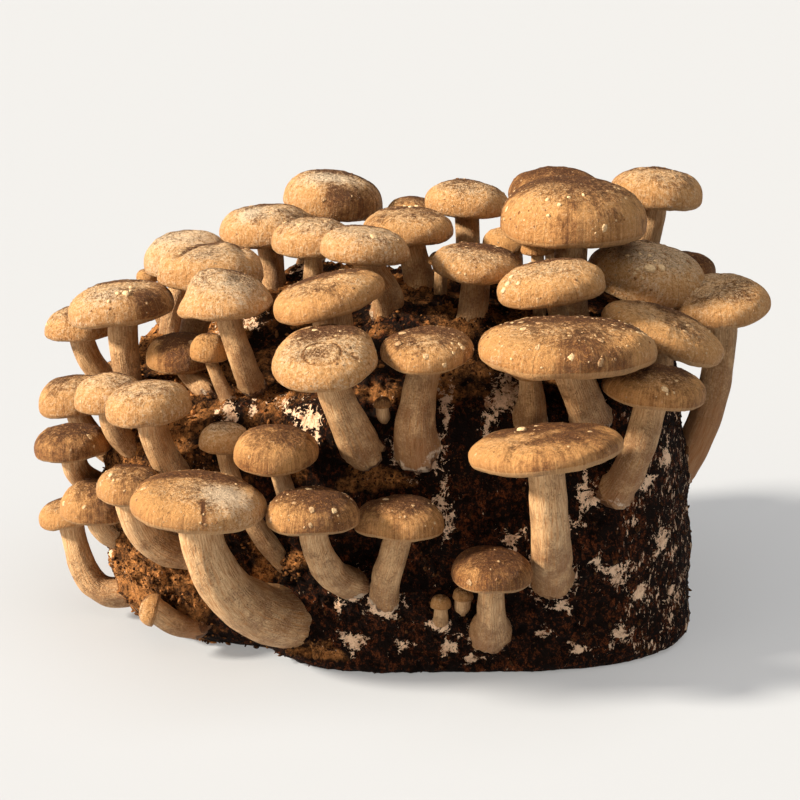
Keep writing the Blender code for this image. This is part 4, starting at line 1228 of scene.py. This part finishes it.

# %% [markdown]
# ## How the mushrooms differ
#
# No two caps have the same finish. A row, with the mushroom's number, says how dark a cap is on top (tone),
# how dark the patch behind its middle is (crest), how much pale bloom it wears, how strongly its skin is
# cracked (scales), how many small flakes and wide plates lie on it, how blunt it is (dome), how far its foot
# bulges (bulb), how mottled its stem is and how much white thread climbs from the block. A mark is a soft
# oval patch: what it changes, its angle round the cap (270 is the front), its share of the radius, its reach
# along and across in mm, its turn in degrees and its amount. An outline is a thin oval line: angle, share and
# half widths in mm. A wart has an angle, a share and a size in mm. Any other value follows from the seed.

# %% Looks
# Tone marks near the rim at 190 to 225 degrees lighten the side that faces the warm light: painted light.
# Those at 290 to 320 degrees darken the side turned from it: painted shade.
LOOKS = {
    1: dict(tone=0.1, bloom=0.3, crest=0.9, scales=0.5, marks=(("tone", 60, 0.5, 18, 8, -20, 0.9),
        ("bloom", 255, 0.4, 16, 6, 5, 0.8), ("rise", 250, 0.5, 16, 1.4, 8, -0.8),
        ("tone", 300, 0.9, 16, 8, 30, 0.5))),
    3: dict(tone=0.15, bloom=0.3, scales=0.6, flakes=30),
    4: dict(tone=0.6, bloom=-0.2, scales=0.3),
    5: dict(tone=0.3, bloom=-0.05, scales=0.75, flakes=60, plates=6,
        marks=(("tone", 130, 0.5, 26, 14, 20, 0.7), ("tone", 225, 1.0, 12, 14, 0, -0.5)),
        warts=((254, 0.8, 1.4), (246, 0.92, 1.2), (278, 0.65, 1.2), (262, 0.7, 1.0), (240, 0.75, 1.1))),
    6: dict(tone=0.15, bloom=0.25, scales=0.4, marks=(("tone", 80, 0.4, 16, 6, 0, 0.4),)),
    7: dict(tone=0.1, bloom=0.4, marks=(("bloom", 230, 0.5, 9, 5, 50, 0.7),
        ("tone", 80, 0.5, 18, 7, 0, 0.6))),
    8: dict(tone=0.0, bloom=0.6),
    9: dict(tone=0.0, bloom=0.35, flakes=30, dome=0.33, crest=0.8,
        marks=(("tone", 200, 0.45, 9, 2.5, 60, 0.7), ("rise", 200, 0.45, 9, 2, 60, -1.2),
        ("rise", 20, 0.6, 10, 2, 100, -1.0), ("rise", 0, 0.3, 10, 3, 100, 1.0))),
    10: dict(tone=0.15, bloom=0.4, plates=10),
    11: dict(tone=0.05, bloom=0.45, scales=0.5, plates=8, crest=0.3,
        marks=(("tone", 90, 0.4, 16, 6, 0, 0.5),)),
    12: dict(tone=0.2, bloom=0.2, plates=4, warts=((80, 0.3, 1.5), (70, 0.5, 1.3), (100, 0.4, 1.1))),
    13: dict(tone=0.0, bloom=-0.4, scales=0.1),
    14: dict(tone=0.1, bloom=0.2, scales=0.9, flakes=40, plates=7,
        marks=(("tone", 20, 0.5, 14, 9, 0, 0.5), ("tone", 210, 0.9, 12, 10, 0, -0.3))),
    15: dict(tone=0.05, bloom=0.15, scales=0.6, flakes=40, plates=6,
        marks=(("tone", 60, 0.5, 20, 8, 0, 0.5), ("tone", 215, 0.9, 12, 10, 0, -0.4)),
        warts=((210, 0.83, 1.8), (208, 0.93, 1.6), (200, 0.7, 1.4), (225, 0.8, 1.2))),
    # Cap 16 is lighter than its own colour (low tone, more bloom), to stand in for the light that cap 05's
    # shadow keeps off it: painted light.
    16: dict(tone=-0.3, bloom=0.45, scales=0.8, crest=0.45, flakes=50, plates=5,
        marks=(("tone", 290, 0.75, 13, 8, 20, -0.6), ("tone", 120, 0.4, 20, 12, 0, 0.35)),
        warts=((224, 0.63, 1.1), (238, 0.49, 1.2), (258, 0.44, 1.2), (264, 0.74, 3.0), (278, 0.68, 2.6),
        (246, 0.88, 1.0), (248, 0.8, 1.1), (215, 0.8, 0.9), (270, 0.55, 0.9))),
    17: dict(tone=0.7, bloom=-0.3),
    18: dict(tone=0.15, bloom=0.25, scales=0.6, mottle=1.3, crest=-0.2),
    19: dict(tone=0.05, bloom=0.35, scales=0.6, plates=3, dome=0.8,
        marks=(("rise", 190, 0.35, 10, 9, 0, 2.5), ("rise", 195, 0.85, 4, 13, 15, -2.0),
        ("rise", 320, 0.5, 9, 8, 0, -1.5), ("rise", 240, 0.55, 10, 1.8, 150, -0.8),
        ("tone", 80, 0.4, 14, 6, 0, 0.5), ("bloom", 300, 0.7, 12, 7, 0, 0.3))),
    20: dict(tone=0.1, bloom=-0.1, scales=0.5, flakes=30, marks=(("tone", 60, 0.3, 20, 9, 10, 0.45),
        ("bloom", 330, 0.85, 8, 8, 0, 0.4), ("tone", 200, 0.9, 12, 12, 0, -0.3))),
    21: dict(tone=0.05, bloom=0.3, crest=0.8, scales=0.5, flakes=40, plates=2,
        marks=(("tone", 60, 0.35, 12, 8, 0, 0.6), ("tone", 320, 0.95, 12, 7, 50, 0.8),
        ("bloom", 250, 0.75, 12, 8, 0, 0.3)), warts=((290, 0.7, 1.9), (276, 0.64, 1.2), (308, 0.5, 1.3),
        (264, 0.82, 1.0), (300, 0.62, 1.0))),
    22: dict(tone=0.15, bloom=0.3),
    23: dict(tone=0.55, bloom=-0.2, scales=0.8, plates=5, marks=(("tone", 200, 0.9, 6, 10, 0, -0.7),)),
    24: dict(tone=0.0, bloom=-0.4, scales=0.0),
    25: dict(tone=0.0, bloom=0.3, scales=0.45, flakes=50, plates=9,
        marks=(("tone", 80, 0.4, 13, 6, 0, 0.6), ("tone", 266, 0.45, 8, 6, 0, 0.35),
        ("rise", 266, 0.45, 8, 6.5, 0, 0.9), ("rise", 266, 0.45, 6, 4.6, 0, -0.9),
        ("rise", 318, 0.72, 7, 1.2, 150, -0.7), ("tone", 318, 0.72, 7, 1.3, 150, 0.3)),
        outlines=((266, 0.42, 8.2, 7.6),)),
    26: dict(tone=0.3, bloom=0.05, crest=0.3, scales=0.5, flakes=60, plates=12, threads=0.3, mottle=0.7,
        marks=(("tone", 110, 0.3, 12, 5, 0, 0.8), ("scales", 110, 0.3, 12, 6, 0, -1.0))),
    27: dict(tone=0.25, bloom=-0.1, scales=0.6, flakes=60, plates=9,
        marks=(("tone", 90, 0.35, 30, 9, 0, 0.8), ("tone", 215, 0.9, 18, 12, 0, -0.4),
        ("tone", 290, 0.95, 26, 9, 0, 0.4), ("rise", 340, 0.85, 10, 3, 60, 1.0),
        ("bloom", 15, 0.95, 7, 16, 10, 1.3), ("scales", 15, 0.9, 7, 16, 10, 0.8))),
    28: dict(tone=0.05, bloom=-0.05, scales=0.2, flakes=30, plates=5,
        marks=(("bloom", 80, 0.5, 24, 6, 0, 0.5),)),
    29: dict(tone=0.4, bloom=-0.15, scales=0.9, plates=8, mottle=0.6),
    30: dict(tone=0.15, bloom=0.15, scales=0.3),
    31: dict(tone=0.05, bloom=0.3, scales=0.2),
    32: dict(tone=0.1, bloom=0.3, scales=0.3, plates=2),
    33: dict(tone=0.45, bloom=-0.2, scales=0.8, plates=6),
    34: dict(tone=0.5, bloom=-0.2, scales=0.8, plates=6, marks=(("tone", 200, 0.9, 10, 12, 0, -0.6),)),
    36: dict(tone=0.4, bloom=-0.1, scales=0.7, plates=5, warts=((215, 0.6, 1.5), (240, 0.7, 0.9)),
        marks=(("tone", 200, 0.9, 10, 12, 0, -0.6),)),
    37: dict(tone=0.1, bloom=-0.35, scales=0.4, flakes=50, threads=0.0, mottle=0.3,
        marks=(("bloom", 318, 0.62, 15, 19, 30, 1.5), ("tone", 95, 0.35, 26, 5, 0, 0.5),
        ("tone", 279, 0.85, 6, 0.8, 100, 0.9), ("bloom", 279, 0.85, 6, 0.8, 100, -1.0),
        ("tone", 215, 0.8, 14, 12, 0, -0.3))),
    38: dict(tone=0.0, bloom=0.25),
    39: dict(tone=0.35, bloom=-0.4, scales=0.0, flakes=6),
    40: dict(tone=0.6, bloom=-0.3, scales=0.9, flakes=60, plates=16,
        marks=(("tone", 215, 0.95, 10, 8, 0, -0.5),)),
    41: dict(tone=0.45, bloom=-0.15, scales=0.7, flakes=50, plates=10, threads=0.3),
    42: dict(tone=0.25, bloom=-0.3, scales=0.2, flakes=12, mottle=0.5,
        marks=(("tone", 190, 0.85, 16, 14, 0, -0.5), ("tone", 320, 0.8, 18, 14, 0, 0.35),
        ("rise", 238, 0.8, 7, 1.3, 80, -0.7), ("rise", 232, 0.85, 7, 1.2, 75, 0.5),
        ("tone", 50, 0.4, 24, 8, 0, 0.35)), warts=((126, 0.42, 2.4),)),
    43: dict(tone=0.6, bloom=-0.2, scales=0.6, flakes=10, bulb=0.15, mottle=0.6),
    44: dict(tone=0.25, mottle=0.9),
}


def look_of(name, seed):
    """The values of the row, over values that follow from the seed: a fraction of its multiples."""
    look = dict(tone=0.1 + 0.3 * (seed * 0.618 % 1), bloom=-0.2 + 0.3 * (seed * 0.414 % 1),
                scales=0.15 + 0.45 * (seed * 0.732 % 1), crest=0.65, dome=0.43, bulb=0.0, mottle=0.4,
                threads=0.1, flakes=14, plates=2, marks=(), outlines=(), warts=())
    look.update(LOOKS.get(seed + 1, {}))
    wide = MUSHROOMS[name][1]
    look["marks"] += (("tone", 85, 0.5, 0.75 * wide, 0.36 * wide, 0, look["crest"]),)
    return look


print("rows:", len(LOOKS), "and the look of the first bud:", look_of("bud_1", 48))

# %% [markdown]
# ## Every mushroom
#
# Each mushroom is one mesh: the cap with its gills, the stem and the flakes are separate closed skins in it,
# because the real one is one body too. It takes the place of its own CAD node.

# %% Build every mushroom
total = block.triangles + crumbs.triangles
for seed, (name, row) in enumerate(MUSHROOMS.items()):
    rng = np.random.default_rng(seed + 11)
    look = look_of(name, seed)
    cap = Cap(row, seed)
    skins = Skins()
    grid, normal, rim = cap_skin(skins, cap, row[4][0] * MM, look)
    stem_skin(skins, cap, row, look)
    flake_skins(skins, grid, normal, rng, flakes_of(rim, rng, look, cap))
    piece = name.replace("mushroom", "shiitake").replace("bud", "young_shiitake")
    skins.make(piece, FLESH, "mushroom_flesh", name)
    total += skins.triangles
print("mushrooms:", len(MUSHROOMS), "triangles in all:", total)

# %% [markdown]
# ## Floor
#
# The block stands on a plain pale floor. It glows a little, so that the block's shadow on it stays light. It
# isn't part of the object.


# %% Floor
floor_mesh = bpy.data.meshes.new("floor")
floor_mesh.from_pydata([(-4, -4, 0), (4, -4, 0), (4, 4, 0), (-4, 4, 0)], [], [(0, 1, 2, 3)])
floor = bpy.data.objects.new("floor", floor_mesh)
bpy.context.scene.collection.objects.link(floor)
plain = Finish("plain_floor", 0.9, 0.0)
plain.shader.inputs["Base Color"].default_value = (0.35, 0.38, 0.43, 1)
plain.shader.inputs["Emission Color"].default_value = (1.0, 0.98, 0.95, 1)
plain.shader.inputs["Emission Strength"].default_value = 0.27
floor_mesh.materials.append(plain.material)
print("floor, m:", tuple(round(v, 1) for v in floor.dimensions))

# %% [markdown]
# ## Light
#
# A low, warm light comes from the left and the front, as in the photograph. A weak one, almost level, reaches
# the stems under their caps, and a soft one from above and the pale surroundings fill the shadows. Suns are
# used, because their light is equally strong everywhere, and a wide one casts a soft shadow.

# %% Lights
world = bpy.data.worlds.new("surroundings")
world.use_nodes = True
world.node_tree.nodes["Background"].inputs["Color"].default_value = (1.0, 0.92, 0.84, 1)
world.node_tree.nodes["Background"].inputs["Strength"].default_value = 0.14
bpy.context.scene.world = world


def add_sun(name, toward, strength, colour, softness):
    """A light from very far away that shines along a direction; softness is how wide it looks, in degrees."""
    light = bpy.data.lights.new(name, "SUN")
    light.energy, light.color, light.angle = strength, colour, math.radians(softness)
    lamp = bpy.data.objects.new(name, light)
    lamp.rotation_euler = Vector(toward).to_track_quat("-Z", "Y").to_euler()
    bpy.context.scene.collection.objects.link(lamp)


# Direction, strength, colour and width
add_sun("warm_light_from_the_left", (0.85, 0.16, -0.48), 7.6, (1.0, 0.88, 0.71), 9)
add_sun("low_fill_from_the_left", (0.86, 0.5, -0.08), 1.5, (1.0, 0.84, 0.62), 40)
add_sun("soft_light_from_above", (-0.15, 0.3, -0.94), 1.5, (1.0, 0.94, 0.86), 60)
print("suns:", [light.name for light in bpy.data.lights if light.type == "SUN"])

# %% [markdown]
# ## Camera
#
# The camera stands more than a metre off and looks down a little, from the front, through a long lens. From
# there the near and the far mushrooms keep their sizes to each other, as in the photograph.

# %% Camera
ELEVATION = math.radians(17)
DISTANCE = 1.1
TARGET = Vector((-0.005, 0, 0.109))
camera_data = bpy.data.cameras.new("camera")
camera_data.lens, camera_data.sensor_width = 100, 36
camera = bpy.data.objects.new("camera", camera_data)
camera.location = TARGET + Vector((0, -math.cos(ELEVATION), math.sin(ELEVATION))) * DISTANCE
camera.rotation_euler = (math.pi / 2 - ELEVATION, 0, 0)
bpy.context.scene.collection.objects.link(camera)
bpy.context.scene.camera = camera
bpy.context.scene.view_settings.view_transform = "Standard"
print("camera at, mm:", [round(v * 1000) for v in camera.location])
